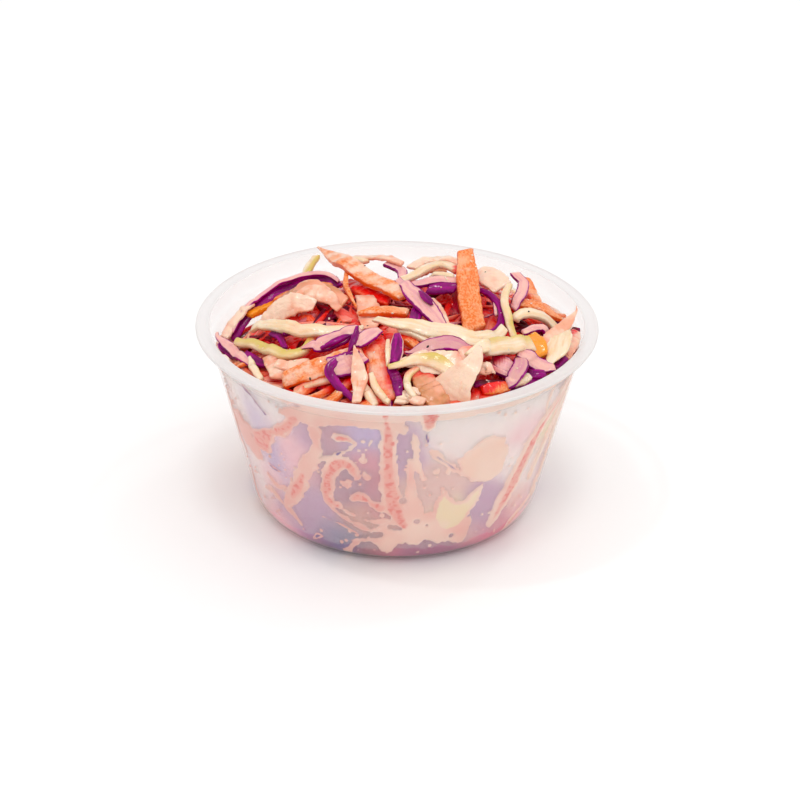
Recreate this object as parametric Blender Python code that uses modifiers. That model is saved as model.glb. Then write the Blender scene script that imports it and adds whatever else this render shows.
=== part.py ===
"""A portion cup of coleslaw: a thin turned polypropylene cup with a rim flange, heaped with shredded slaw.

Blender 4.5, metres, +Z up. The origin is the centre of the cup's base, where it stands.
Sizes below are in millimetres, and MM turns them to metres.
"""

import math
import random

import bpy

MM = 0.001

# The cup, outside.
CUP_HEIGHT = 37.0
RIM_RADIUS = 37.4  # the flange's outer edge
FLANGE_THICKNESS = 0.65
FLANGE_EDGE_ROUND = 0.3
FLANGE_GROOVE_DEPTH = 0.15  # the shallow ring between the two beads on top of the flange
NECK_RADIUS = 35.25  # the lid's seat, a short wider band below the flange
NECK_FOOT_Z = 33.9
STEP_HEIGHT = 0.35  # the sloped shoulder from the neck to the wall
WALL_FOOT_RADIUS = 26.56  # where the wall's line would meet the base plane
WALL_SLOPE = 0.2377  # millimetres of radius for each millimetre of height
CORNER_RADIUS = 4.5  # between the wall and the flat base

# The cup's plastic.
WALL_THICKNESS = 0.5
FLOOR_THICKNESS = 0.55
LIP_ROUND = 0.25

# The heap of slaw.
GAP = 0.3  # clear space between the slaw and the plastic
CROWN_Z = 41.0  # the dome, before its bumps and dips
EDGE_Z = 32.4  # the dome's height at the wall, on average
EDGE_RISE_FRONT = 2.2  # the slaw lies higher against the wall at the front, lower behind
EDGE_RISE_RIGHT = 0.8
DOME_POWER = 2.4
# Each swell is x, y, radius and height: a bump of piled shreds, or a dip beside the wall.
SWELLS = (
    (12.5, 6.5, 5.5, 2.6),
    (-17.0, -3.0, 6.5, 2.2),
    (-4.0, -20.0, 6.0, 1.6),
    (21.0, 0.5, 5.0, 1.8),
    (13.0, -21.0, 5.0, 1.4),
    (-26.5, 14.0, 8.5, -6.5),
    (1.0, 29.0, 9.5, -4.6),
)
SHRED_COUNT = 80  # ridges laid over the dome, each as wide as a few shreds side by side
SHRED_HALF_WIDTH = 2.3
SHRED_HALF_LENGTH = (5.0, 11.0)
SHRED_HEIGHT = (1.0, 2.6)
SHRED_SEED = 7

# How finely the turned shapes are cut.
CUP_STEPS = 64
HEAP_STEPS = 80
HEAP_RINGS = 22
ARC_STEPS = 6
ROUND_STEPS = 3
WELD_DISTANCE = 0.00005


def clear_scene():
    for obj in list(bpy.data.objects):
        bpy.data.objects.remove(obj, do_unlink=True)


def make_collection(name):
    collection = bpy.data.collections.new(name)
    bpy.context.scene.collection.children.link(collection)
    return collection


def make_material(name, color, roughness, alpha=1.0):
    """A Principled material with one colour; metal is never needed here."""
    material = bpy.data.materials.new(name)
    material.use_nodes = True
    shader = material.node_tree.nodes["Principled BSDF"]
    shader.inputs["Base Color"].default_value = (*color, 1.0)
    shader.inputs["Roughness"].default_value = roughness
    shader.inputs["Metallic"].default_value = 0.0
    shader.inputs["Alpha"].default_value = alpha
    material.diffuse_color = (*color, alpha)
    return material


def arc(center, radius, start, end, steps):
    """Points (r, z) on a circle from one angle to another, in degrees, with both ends."""
    turns = [start + (end - start) * i / steps for i in range(steps + 1)]
    return [
        (center[0] + radius * math.cos(math.radians(turn)), center[1] + radius * math.sin(math.radians(turn)))
        for turn in turns
    ]


def wall_radius(z, inset):
    """Radius of the tapered wall at a height, moved inwards by an inset square to the wall."""
    return WALL_FOOT_RADIUS + WALL_SLOPE * z - inset * math.hypot(1.0, WALL_SLOPE)


def base_corner(inset, floor_z):
    """The rounded corner from the wall down to the floor, for a surface that lies inset from the outside."""
    radius = CORNER_RADIUS - inset
    center_z = floor_z + radius
    center_r = wall_radius(center_z, inset) - radius * math.hypot(1.0, WALL_SLOPE)
    draft = math.degrees(math.atan(WALL_SLOPE))
    return arc((center_r, center_z), radius, -draft, -90.0, ARC_STEPS)


def cup_outside():
    """The outer side from the flange's top down to the centre of the base."""
    top_in = NECK_RADIUS - WALL_THICKNESS + LIP_ROUND
    bead = (RIM_RADIUS - top_in) / 4.0
    groove_z = CUP_HEIGHT - FLANGE_GROOVE_DEPTH
    under_z = CUP_HEIGHT - FLANGE_THICKNESS
    edge_r = RIM_RADIUS - FLANGE_EDGE_ROUND
    step_z = NECK_FOOT_Z - STEP_HEIGHT
    points = [(top_in, CUP_HEIGHT), (top_in + bead, groove_z), (edge_r - bead, groove_z)]
    points += arc((edge_r, CUP_HEIGHT - FLANGE_EDGE_ROUND), FLANGE_EDGE_ROUND, 90.0, 0.0, ROUND_STEPS)
    points += arc((edge_r, under_z + FLANGE_EDGE_ROUND), FLANGE_EDGE_ROUND, 0.0, -90.0, ROUND_STEPS)
    points += [(NECK_RADIUS, under_z), (NECK_RADIUS, NECK_FOOT_Z), (wall_radius(step_z, 0.0), step_z)]
    points += base_corner(0.0, 0.0)
    points += [(0.0, 0.0)]
    return points


def cup_inside():
    """The inner side from the centre of the floor up to the lip, a wall's thickness inside the outer side."""
    step_z = NECK_FOOT_Z - STEP_HEIGHT
    neck_r = NECK_RADIUS - WALL_THICKNESS
    points = [(0.0, FLOOR_THICKNESS)]
    points += base_corner(WALL_THICKNESS, FLOOR_THICKNESS)[::-1]
    points += [(wall_radius(step_z, WALL_THICKNESS), step_z), (neck_r, NECK_FOOT_Z)]
    lip_center = (neck_r + LIP_ROUND, CUP_HEIGHT - LIP_ROUND)
    points += arc(lip_center, LIP_ROUND, 180.0, 90.0, ROUND_STEPS)[:-1]
    return points


def turned(name, profile, steps, collection):
    """A profile of (r, z) points in millimetres, turned about Z by a Screw modifier."""
    mesh = bpy.data.meshes.new(name)
    points = [(r * MM, 0.0, z * MM) for r, z in profile]
    mesh.from_pydata(points, [(i, i + 1) for i in range(len(points) - 1)], [])
    obj = bpy.data.objects.new(name, mesh)
    collection.objects.link(obj)
    screw = obj.modifiers.new("turn", "SCREW")
    screw.axis = "Z"
    screw.steps = steps
    screw.render_steps = steps
    screw.use_merge_vertices = True
    screw.merge_threshold = WELD_DISTANCE
    screw.use_smooth_shade = False
    return obj


def make_cup(collection):
    """The profile starts on the axis inside, goes over the rim and comes back to the axis under the base."""
    cup = turned("cup", cup_inside() + cup_outside(), CUP_STEPS, collection)
    cup.data.materials.append(make_material("polypropylene", (0.86, 0.83, 0.82), 0.35, 0.45))
    return cup


def dome_height(x, y):
    """Height of the smooth heap: a dome whose edge is higher at the front (-Y) and on the right (+X)."""
    reach = wall_radius(EDGE_Z, WALL_THICKNESS + GAP)
    out = math.hypot(x, y)
    front = -y / out if out > 0.0 else 0.0
    right = x / out if out > 0.0 else 0.0
    edge_z = EDGE_Z + EDGE_RISE_FRONT * front + EDGE_RISE_RIGHT * right
    spread = min(out / reach, 1.0) ** DOME_POWER
    return CROWN_Z + (edge_z - CROWN_Z) * spread


def swell_height(x, y):
    """Sum of the broad bumps and dips, each a smooth hill that fades out at twice its radius."""
    total = 0.0
    for center_x, center_y, radius, height in SWELLS:
        away = math.hypot(x - center_x, y - center_y) / (2.0 * radius)
        total += height * max(0.0, 1.0 - away * away) ** 2
    return total


def make_shreds():
    """Straight ridges scattered over the dome: centre, direction, half length and height of each."""
    rng = random.Random(SHRED_SEED)
    reach = wall_radius(EDGE_Z, WALL_THICKNESS)
    shreds = []
    for _ in range(SHRED_COUNT):
        out = reach * math.sqrt(rng.random())
        around = rng.uniform(0.0, math.tau)
        heading = rng.uniform(0.0, math.pi)
        half_length = rng.uniform(*SHRED_HALF_LENGTH)
        height = rng.uniform(*SHRED_HEIGHT)
        shreds.append((out * math.cos(around), out * math.sin(around), heading, half_length, height))
    return shreds


def shred_height(x, y, shreds):
    """Height of the tallest ridge over a point: round across its width and tapering at its ends."""
    tallest = 0.0
    for center_x, center_y, heading, half_length, height in shreds:
        along = (x - center_x) * math.cos(heading) + (y - center_y) * math.sin(heading)
        across = (y - center_y) * math.cos(heading) - (x - center_x) * math.sin(heading)
        if abs(along) < half_length and abs(across) < SHRED_HALF_WIDTH:
            cap = 1.0 - (across / SHRED_HALF_WIDTH) ** 2
            taper = 1.0 - (along / half_length) ** 4
            tallest = max(tallest, height * cap * taper)
    return tallest


def heap_profile():
    """The slaw's turned body, with a flat top cut into rings: top centre, out to the wall, down to the floor."""
    inset = WALL_THICKNESS + GAP
    edge_r = wall_radius(EDGE_Z, inset)
    points = [(edge_r * ring / HEAP_RINGS, EDGE_Z) for ring in range(HEAP_RINGS + 1)]
    points += base_corner(inset, FLOOR_THICKNESS + GAP)
    points += [(0.0, FLOOR_THICKNESS + GAP)]
    return points


def make_coleslaw(collection):
    """The turned body is made a mesh, and each point of its top moves to the heap's own height there."""
    body = turned("slaw_body", heap_profile(), HEAP_STEPS, collection)
    graph = bpy.context.evaluated_depsgraph_get()
    mesh = bpy.data.meshes.new_from_object(body.evaluated_get(graph))
    bpy.data.objects.remove(body, do_unlink=True)
    shreds = make_shreds()
    top = [vertex for vertex in mesh.vertices if abs(vertex.co.z / MM - EDGE_Z) < GAP]
    for vertex in top:
        x = vertex.co.x / MM
        y = vertex.co.y / MM
        z = dome_height(x, y) + swell_height(x, y) + shred_height(x, y, shreds)
        widen = wall_radius(z, 0.0) - wall_radius(EDGE_Z, 0.0)
        out = math.hypot(x, y) / wall_radius(EDGE_Z, WALL_THICKNESS + GAP)
        vertex.co.z = z * MM
        vertex.co.x *= 1.0 + out * widen / wall_radius(EDGE_Z, 0.0)
        vertex.co.y *= 1.0 + out * widen / wall_radius(EDGE_Z, 0.0)
    mesh.name = "coleslaw"
    obj = bpy.data.objects.new("coleslaw", mesh)
    obj.data.materials.clear()
    obj.data.materials.append(make_material("shredded_slaw", (0.80, 0.42, 0.32), 0.4))
    collection.objects.link(obj)
    return obj


def main():
    clear_scene()
    collection = make_collection("coleslaw_in_cup")
    make_cup(collection)
    make_coleslaw(collection)


main()
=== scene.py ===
# %% [markdown]
# # A portion cup of coleslaw
# The object is a thin cup of frosted plastic, heaped with shredded carrot, red cabbage and white
# cabbage in a pink-cream dressing. The solid model gives two shapes, the cup and the outline of the
# heap. This script keeps their places, and makes the surfaces and the shreds that the eye sees.

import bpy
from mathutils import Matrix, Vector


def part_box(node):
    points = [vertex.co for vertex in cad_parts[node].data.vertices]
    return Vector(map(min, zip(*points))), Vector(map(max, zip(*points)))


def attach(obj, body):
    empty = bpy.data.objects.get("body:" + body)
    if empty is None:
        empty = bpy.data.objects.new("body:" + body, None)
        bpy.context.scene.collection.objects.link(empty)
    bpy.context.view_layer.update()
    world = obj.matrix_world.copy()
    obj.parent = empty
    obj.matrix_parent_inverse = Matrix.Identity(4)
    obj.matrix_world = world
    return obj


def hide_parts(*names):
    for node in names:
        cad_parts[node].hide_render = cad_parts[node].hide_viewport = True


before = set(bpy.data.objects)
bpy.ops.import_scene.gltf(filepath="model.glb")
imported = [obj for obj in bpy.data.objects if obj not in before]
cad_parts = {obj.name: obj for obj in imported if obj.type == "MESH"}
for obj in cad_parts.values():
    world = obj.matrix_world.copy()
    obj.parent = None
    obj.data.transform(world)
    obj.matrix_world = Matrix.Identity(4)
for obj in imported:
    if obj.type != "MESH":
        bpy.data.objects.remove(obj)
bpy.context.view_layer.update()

import bpy
import numpy as np
from mathutils import Matrix, Vector

MM = 0.001  # every size below is in millimetres


def linear(hex_color):
    """An sRGB colour as hex digits, turned to the linear values that shaders work in:
    c / 12.92 below 0.04045, and ((c + 0.055) / 1.055) ** 2.4 above."""
    srgb = np.array([int(hex_color[i : i + 2], 16) / 255 for i in (0, 2, 4)])
    light = np.where(srgb <= 0.04045, srgb / 12.92, ((srgb + 0.055) / 1.055) ** 2.4)
    return (*light.tolist(), 1.0)


def add(tree, kind, inputs=None, out=0, **settings):
    """Adds one shader node and hands back one of its outputs. An input is a plain value, or another
    node's output to link from."""
    node = tree.nodes.new("ShaderNode" + kind)
    for name, value in settings.items():
        setattr(node, name, value)
    for name, value in (inputs or {}).items():
        if isinstance(value, bpy.types.NodeSocket):
            tree.links.new(value, node.inputs[name])
        else:
            node.inputs[name].default_value = value
    return node.outputs[out]


def ramp(value, start, end):
    """Smooth step: 0 before start, 1 after end, and 3t^2 - 2t^3 between. Start may be above end."""
    t = np.clip((value - start) / (end - start), 0.0, 1.0)
    return t * t * (3.0 - 2.0 * t)


def new_material(name):
    """An empty material, the tree to build in, and the input that the finished shader goes to."""
    material = bpy.data.materials.new(name)
    material.use_nodes = True
    tree = material.node_tree
    tree.nodes.clear()
    return material, tree, tree.nodes.new("ShaderNodeOutputMaterial").inputs["Surface"]


# %% [markdown]
# ## The cup
# The real cup is moulded polypropylene, half a millimetre thick. It is round, so its shape is one
# outline turned about the axis. The outline goes from the middle of the floor up the inside, over the
# flange and down the outside. Working it out as radius and height arrays keeps every edge where the
# solid model has it, and lets the rim be cut much finer than a solid for collisions needs.

# %% Sizes of the cup
low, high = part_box("cup")
RIM_R = high.x / MM
CUP_TOP = high.z / MM
FLANGE = 0.65  # thickness of the flange
EDGE_ROUND = 0.3
GROOVE = 0.15  # depth of the shallow ring on top of the flange
NECK_R = 35.25  # the lid's seat, a short wider band below the flange
NECK_FOOT = 33.9
STEP = 0.35  # height of the slope from the neck to the wall
FOOT_R = 26.56  # where the wall's line would meet the floor
SLOPE = 0.2377  # millimetres of radius for each millimetre of height
CORNER = 4.5
WALL = 0.5
FLOOR = 0.55
LIP_ROUND = 0.25
LEAN = np.hypot(1.0, SLOPE)
FLOOR_RINGS = (0.0, 4.0, 12.0, 18.0)  # radii at which the flat floor is cut
NEAR_EDGE = 0.2  # extra rings this close to the flange's foot keep its shading crisp
AROUND_CUP = 240
print("rim radius %.2f, height %.2f" % (RIM_R, CUP_TOP))


def wall_r(z, inset=WALL):
    """Radius of the tapered wall at height z, on a surface inset square to the outside."""
    return FOOT_R + SLOPE * np.asarray(z, float) - inset * LEAN


# %% The cup's outline, as radius and height
def arc(center_r, center_z, radius, start, end, steps):
    """Circle arc from one angle to another, in degrees: centre + radius * (cos, sin)."""
    turn = np.radians(np.linspace(start, end, steps + 1))
    return np.stack([center_r + radius * np.cos(turn), center_z + radius * np.sin(turn)], 1)


def corner(inset, floor_z, steps=14):
    """The rounded corner from the wall to the floor, tangent to both."""
    radius = CORNER - inset
    center_z = floor_z + radius
    center_r = wall_r(center_z, inset) - radius * LEAN
    return arc(center_r, center_z, radius, -np.degrees(np.arctan(SLOPE)), -90.0, steps)


def cup_outline():
    """Inside from the axis up, over the rim and down the outside to the axis."""
    step_z = NECK_FOOT - STEP
    neck_in = NECK_R - WALL
    lip_in = neck_in + LIP_ROUND
    edge = RIM_R - EDGE_ROUND
    bead = (RIM_R - lip_in) / 4.0
    under = CUP_TOP - FLANGE
    floor_r = np.array(FLOOR_RINGS)
    top_r = np.linspace(lip_in, edge, 13)
    groove = GROOVE * ramp(np.minimum(top_r - lip_in, edge - top_r), 0.0, bead)
    z_in = np.linspace(0.0, 1.0, 9)[:, None]
    inner_foot = corner(WALL, FLOOR)[::-1]
    inner_wall = inner_foot[-1] * (1.0 - z_in) + np.array([wall_r(step_z), step_z]) * z_in
    outer_foot = corner(0.0, 0.0)
    outer_wall = np.array([wall_r(step_z, 0.0), step_z]) * (1.0 - z_in) + outer_foot[0] * z_in
    return np.concatenate(
        [
            np.stack([floor_r, np.full(len(floor_r), FLOOR)], 1),
            inner_foot,
            inner_wall[1:],
            [[neck_in, NECK_FOOT], [neck_in, CUP_TOP - 1.5]],
            arc(lip_in, CUP_TOP - LIP_ROUND, LIP_ROUND, 180.0, 90.0, 5),
            np.stack([top_r, CUP_TOP - groove], 1)[1:-1],
            arc(edge, CUP_TOP - EDGE_ROUND, EDGE_ROUND, 90.0, 0.0, 5),
            arc(edge, under + EDGE_ROUND, EDGE_ROUND, 0.0, -90.0, 5)[1:],
            [[NECK_R + NEAR_EDGE, under], [NECK_R, under - NEAR_EDGE], [NECK_R, NECK_FOOT]],
            [[wall_r(step_z, 0.0), step_z]],
            outer_wall[1:],
            outer_foot[1:],
            np.stack([floor_r[::-1], np.zeros(len(floor_r))], 1),
        ]
    )


print("the cup's outline has", len(cup_outline()), "points")


# %% Turn an outline into a mesh
def make_mesh(name, points, quads, triangles=(), smooth=True):
    """A mesh object from points in millimetres and arrays of face corners."""
    mesh = bpy.data.meshes.new(name)
    quads = np.asarray(quads, np.int32).reshape(-1, 4)
    triangles = np.asarray(triangles, np.int32).reshape(-1, 3)
    corners = np.concatenate([quads.ravel(), triangles.ravel()])
    sizes = np.concatenate([np.full(len(quads), 4), np.full(len(triangles), 3)]).astype(np.int32)
    mesh.vertices.add(len(points))
    mesh.vertices.foreach_set("co", (np.asarray(points, np.float64) * MM).ravel())
    mesh.loops.add(len(corners))
    mesh.loops.foreach_set("vertex_index", corners)
    mesh.polygons.add(len(sizes))
    mesh.polygons.foreach_set("loop_start", np.concatenate([[0], np.cumsum(sizes)[:-1]]).astype(np.int32))
    mesh.polygons.foreach_set("use_smooth", np.full(len(sizes), smooth))
    mesh.update(calc_edges=True)
    mesh.validate()
    obj = bpy.data.objects.new(name, mesh)
    bpy.context.scene.collection.objects.link(obj)
    return obj


def ring_faces(rows, around):
    """Faces of a tube of `rows` rings, each of `around` points: four-sided ones between neighbouring
    rings, and at each end a fan of triangles to one of the two points that come after all the rings."""
    here = np.arange(around)
    after = (here + 1) % around
    start = np.arange(rows - 1)[:, None] * around
    quads = np.stack([start + here, start + after, start + around + after, start + around + here], -1)
    last = (rows - 1) * around
    tip = rows * around
    first_fan = np.stack([np.full(around, tip), after, here], -1)
    last_fan = np.stack([np.full(around, tip + 1), last + here, last + after], -1)
    return quads.reshape(-1, 4), np.concatenate([first_fan, last_fan])


def turned(name, outline, steps):
    """Turns (r, z) points about the axis: x = r cos a, y = r sin a. Both ends lie on the axis, so each
    end is one point with a fan of triangles."""
    ring = outline[1:-1]
    angle = np.arange(steps) * 2.0 * np.pi / steps
    x = ring[:, 0, None] * np.cos(angle)
    y = ring[:, 0, None] * np.sin(angle)
    z = np.repeat(ring[:, 1, None], steps, 1)
    tips = [[0, 0, outline[0, 1]], [0, 0, outline[-1, 1]]]
    points = np.concatenate([np.stack([x, y, z], -1).reshape(-1, 3), tips])
    quads, triangles = ring_faces(len(ring), steps)
    return make_mesh(name, points, quads[:, ::-1], triangles[:, ::-1])


cup = turned("frosted_cup", cup_outline(), AROUND_CUP)
print("cup:", len(cup.data.polygons), "faces")

# %% [markdown]
# ## The cup's plastic
# Polypropylene is milky: light goes straight through a thin wall and scatters a little at every grain
# inside it. Real scattering in a half-millimetre wall is slow and noisy to render. So the wall is mostly
# see-through here, and each of its surfaces adds a share of white haze, which looks the same.

# %% Frosted polypropylene
def frosted_polypropylene(name, haze, tone):
    """Moulded polypropylene, milky in the mass, with the fine matt texture of its mould. Light mostly goes
    straight through the thin wall, and each of its two surfaces adds its share of white haze. The real
    texture is far too fine to show, so it is drawn as dimples about a millimetre wide."""
    material, tree, out = new_material(name)
    place = add(tree, "TexCoord", out="Object")
    texture = add(tree, "TexNoise", {"Vector": place, "Scale": 900.0})
    bump = add(tree, "Bump", {"Height": texture, "Strength": 0.05, "Distance": 0.0001})
    inputs = {
        "Base Color": linear(tone),
        "Roughness": 0.3,
        "IOR": 1.49,
        "Transmission Weight": 0.25,
        "Alpha": haze,
        "Normal": bump,
    }
    tree.links.new(add(tree, "BsdfPrincipled", inputs), out)
    return material


# %% Where each finish goes
# The flange's top is seen through millimetres of plastic, so it is hazier than the wall. The neck was
# polished by the lid's seat in the mould, so it is the clearest part. The flange's underside and the lip's
# inner face stay clear like the neck, because haze there shows as a dark ring from inside.
CLEAR_UNDER = 0.07
CLEAR_LIP = 0.06
cup.data.materials.append(frosted_polypropylene("polypropylene_wall", 0.22, "FCF8F6"))
cup.data.materials.append(frosted_polypropylene("polypropylene_neck", 0.18, "FCFAF9"))
cup.data.materials.append(frosted_polypropylene("polypropylene_flange", 0.93, "EDE9E8"))
centers = np.empty(len(cup.data.polygons) * 3, np.float32)
cup.data.polygons.foreach_get("center", centers)
centers = centers.reshape(-1, 3) / MM
is_neck = centers[:, 2] > NECK_FOOT - STEP
from_lip = np.hypot(centers[:, 0], centers[:, 1]) - (NECK_R - WALL)
is_flange = (centers[:, 2] > CUP_TOP - FLANGE + CLEAR_UNDER) & (from_lip > CLEAR_LIP)
cup.data.polygons.foreach_set("material_index", is_neck.astype(np.int32) + is_flange)
print("neck faces:", int((is_neck & ~is_flange).sum()), "flange faces:", int(is_flange.sum()))
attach(cup, "root")
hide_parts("cup")

# %% [markdown]
# ## The heap of slaw
# The real heap is a few hundred shreds of carrot, red cabbage and white cabbage, each coated in dressing
# and dropped on the ones below. Particles or physics could scatter copies, but a slaw has no two shreds
# alike. So every shred is its own loft here: a route through space, with an oval or boxy section that
# changes along it. A height map of the heap remembers how high it has grown, and each new shred is let
# down on that map, so the shreds rest on one another and never float.

# %% The outline of the mound
CROWN = 41.0  # the smooth mound's top
EDGE = 32.4  # its height at the wall, on average
EDGE_FRONT = 2.2  # the mound lies higher against the wall at the front
EDGE_RIGHT = 0.8
DOME_POWER = 2.4
# Each swell is x, y, radius and height: a bump of piled shreds, or a dip beside the wall.
SWELLS = (
    (12.5, 6.5, 5.5, 2.6),
    (-17.0, -3.0, 6.5, 2.2),
    (-4.0, -20.0, 6.0, 1.6),
    (21.0, 0.5, 5.0, 1.8),
    (13.0, -21.0, 5.0, 1.4),
    (-26.5, 14.0, 8.5, -6.5),
    (1.0, 29.0, 9.5, -4.6),
)


def inner_r(z):
    """Radius of the cup's inside at height z, with the wider neck above the step."""
    return np.where(np.asarray(z) < NECK_FOOT - 0.5 * STEP, wall_r(z), NECK_R - WALL)


def mound(x, y):
    """Height of the smooth heap: crown + (edge - crown) * (r / reach) ** power, and the swells, each a
    hill of h * (1 - (d / 2r) ** 2) ** 2."""
    out = np.hypot(x, y) + 1e-9
    edge = EDGE + EDGE_FRONT * (-y / out) + EDGE_RIGHT * (x / out)
    z = CROWN + (edge - CROWN) * np.minimum(out / wall_r(EDGE, WALL + 0.3), 1.0) ** DOME_POWER
    for center_x, center_y, radius, height in SWELLS:
        away = np.hypot(x - center_x, y - center_y) / (2.0 * radius)
        z = z + height * np.maximum(0.0, 1.0 - away**2) ** 2
    return z


print("the mound is %.1f high in the middle, %.1f at the front wall" % (mound(0.0, 0.0), mound(0.0, -33.5)))


# %% The height map
CELL = 0.5
REACH = 38.0  # half the map's width
COVER = 6.5  # depth of loose shreds over the core
cell_line = np.arange(-REACH, REACH + CELL, CELL)
cell_x, cell_y = np.meshgrid(cell_line, cell_line)
pile = mound(cell_x, cell_y) - COVER
print("height map:", pile.shape, "cells of", CELL, "mm")


def cell_of(value):
    """The number of the nearest cell along one side of the map."""
    return np.clip(np.rint((value + REACH) / CELL).astype(int), 0, len(cell_line) - 1)


def pile_under(x, y, half):
    """The highest cell under a strip, looked up on its middle and near both edges."""
    ahead_x, ahead_y = np.gradient(x), np.gradient(y)
    length = np.hypot(ahead_x, ahead_y) + 1e-6
    shift = np.array([-0.7, 0.0, 0.7])[:, None] * half
    look_x = x - ahead_y / length * shift
    look_y = y + ahead_x / length * shift
    return pile[cell_of(look_y), cell_of(look_x)].max(0)


def raise_pile(x, y, half, top):
    """Writes a laid strip's top into the height map, on points closer together than the cells."""
    along = np.concatenate([[0.0], np.cumsum(np.hypot(np.diff(x), np.diff(y)))])
    fine = np.arange(0.0, along[-1], 0.35)
    x, y, top, half = (np.interp(fine, along, values) for values in (x, y, top, half))
    ahead_x, ahead_y = np.gradient(x), np.gradient(y)
    length = np.hypot(ahead_x, ahead_y) + 1e-6
    shift = np.linspace(-1.0, 1.0, 9)[:, None] * half
    cover_x = x - ahead_y / length * shift
    cover_y = y + ahead_x / length * shift
    np.maximum.at(pile, (cell_of(cover_y), cell_of(cover_x)), np.broadcast_to(top, cover_x.shape))


# %% Routes
def spline(points, count):
    """A smooth route through a few set points (Catmull-Rom), cut again at even steps along its length."""
    points = np.asarray(points, float)
    ends = np.concatenate([[2.0 * points[0] - points[1]], points, [2.0 * points[-1] - points[-2]]])
    t = np.linspace(0.0, 1.0, 12, endpoint=False)[:, None]
    p0, p1, p2, p3 = (ends[i : len(ends) - 3 + i][:, None] for i in range(4))
    bend = 2 * p0 - 5 * p1 + 4 * p2 - p3
    swing = 3 * p1 - p0 - 3 * p2 + p3
    curve = 0.5 * (2 * p1 + (p2 - p0) * t + bend * t**2 + swing * t**3)
    curve = np.concatenate([curve.reshape(-1, points.shape[1]), points[-1:]])
    along = np.concatenate([[0.0], np.cumsum(np.linalg.norm(np.diff(curve, axis=0), axis=1))])
    even = np.linspace(0.0, along[-1], count)
    return np.stack([np.interp(even, along, line) for line in curve.T], 1)


def wander(along, sizes, rng):
    """Uneven edges: a sum of sines, about as long as the sizes given, with random phases, from -1 to 1."""
    waves = [
        np.sin(2.0 * np.pi * along / (size * rng.uniform(0.8, 1.25)) + rng.uniform(0.0, 6.3))
        for size in sizes
    ]
    return np.mean(waves, 0)


# %% One shred
shreds = {"carrot_shreds": [], "red_cabbage_shreds": [], "white_cabbage_shreds": [], "dressed_leaves": []}


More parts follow.
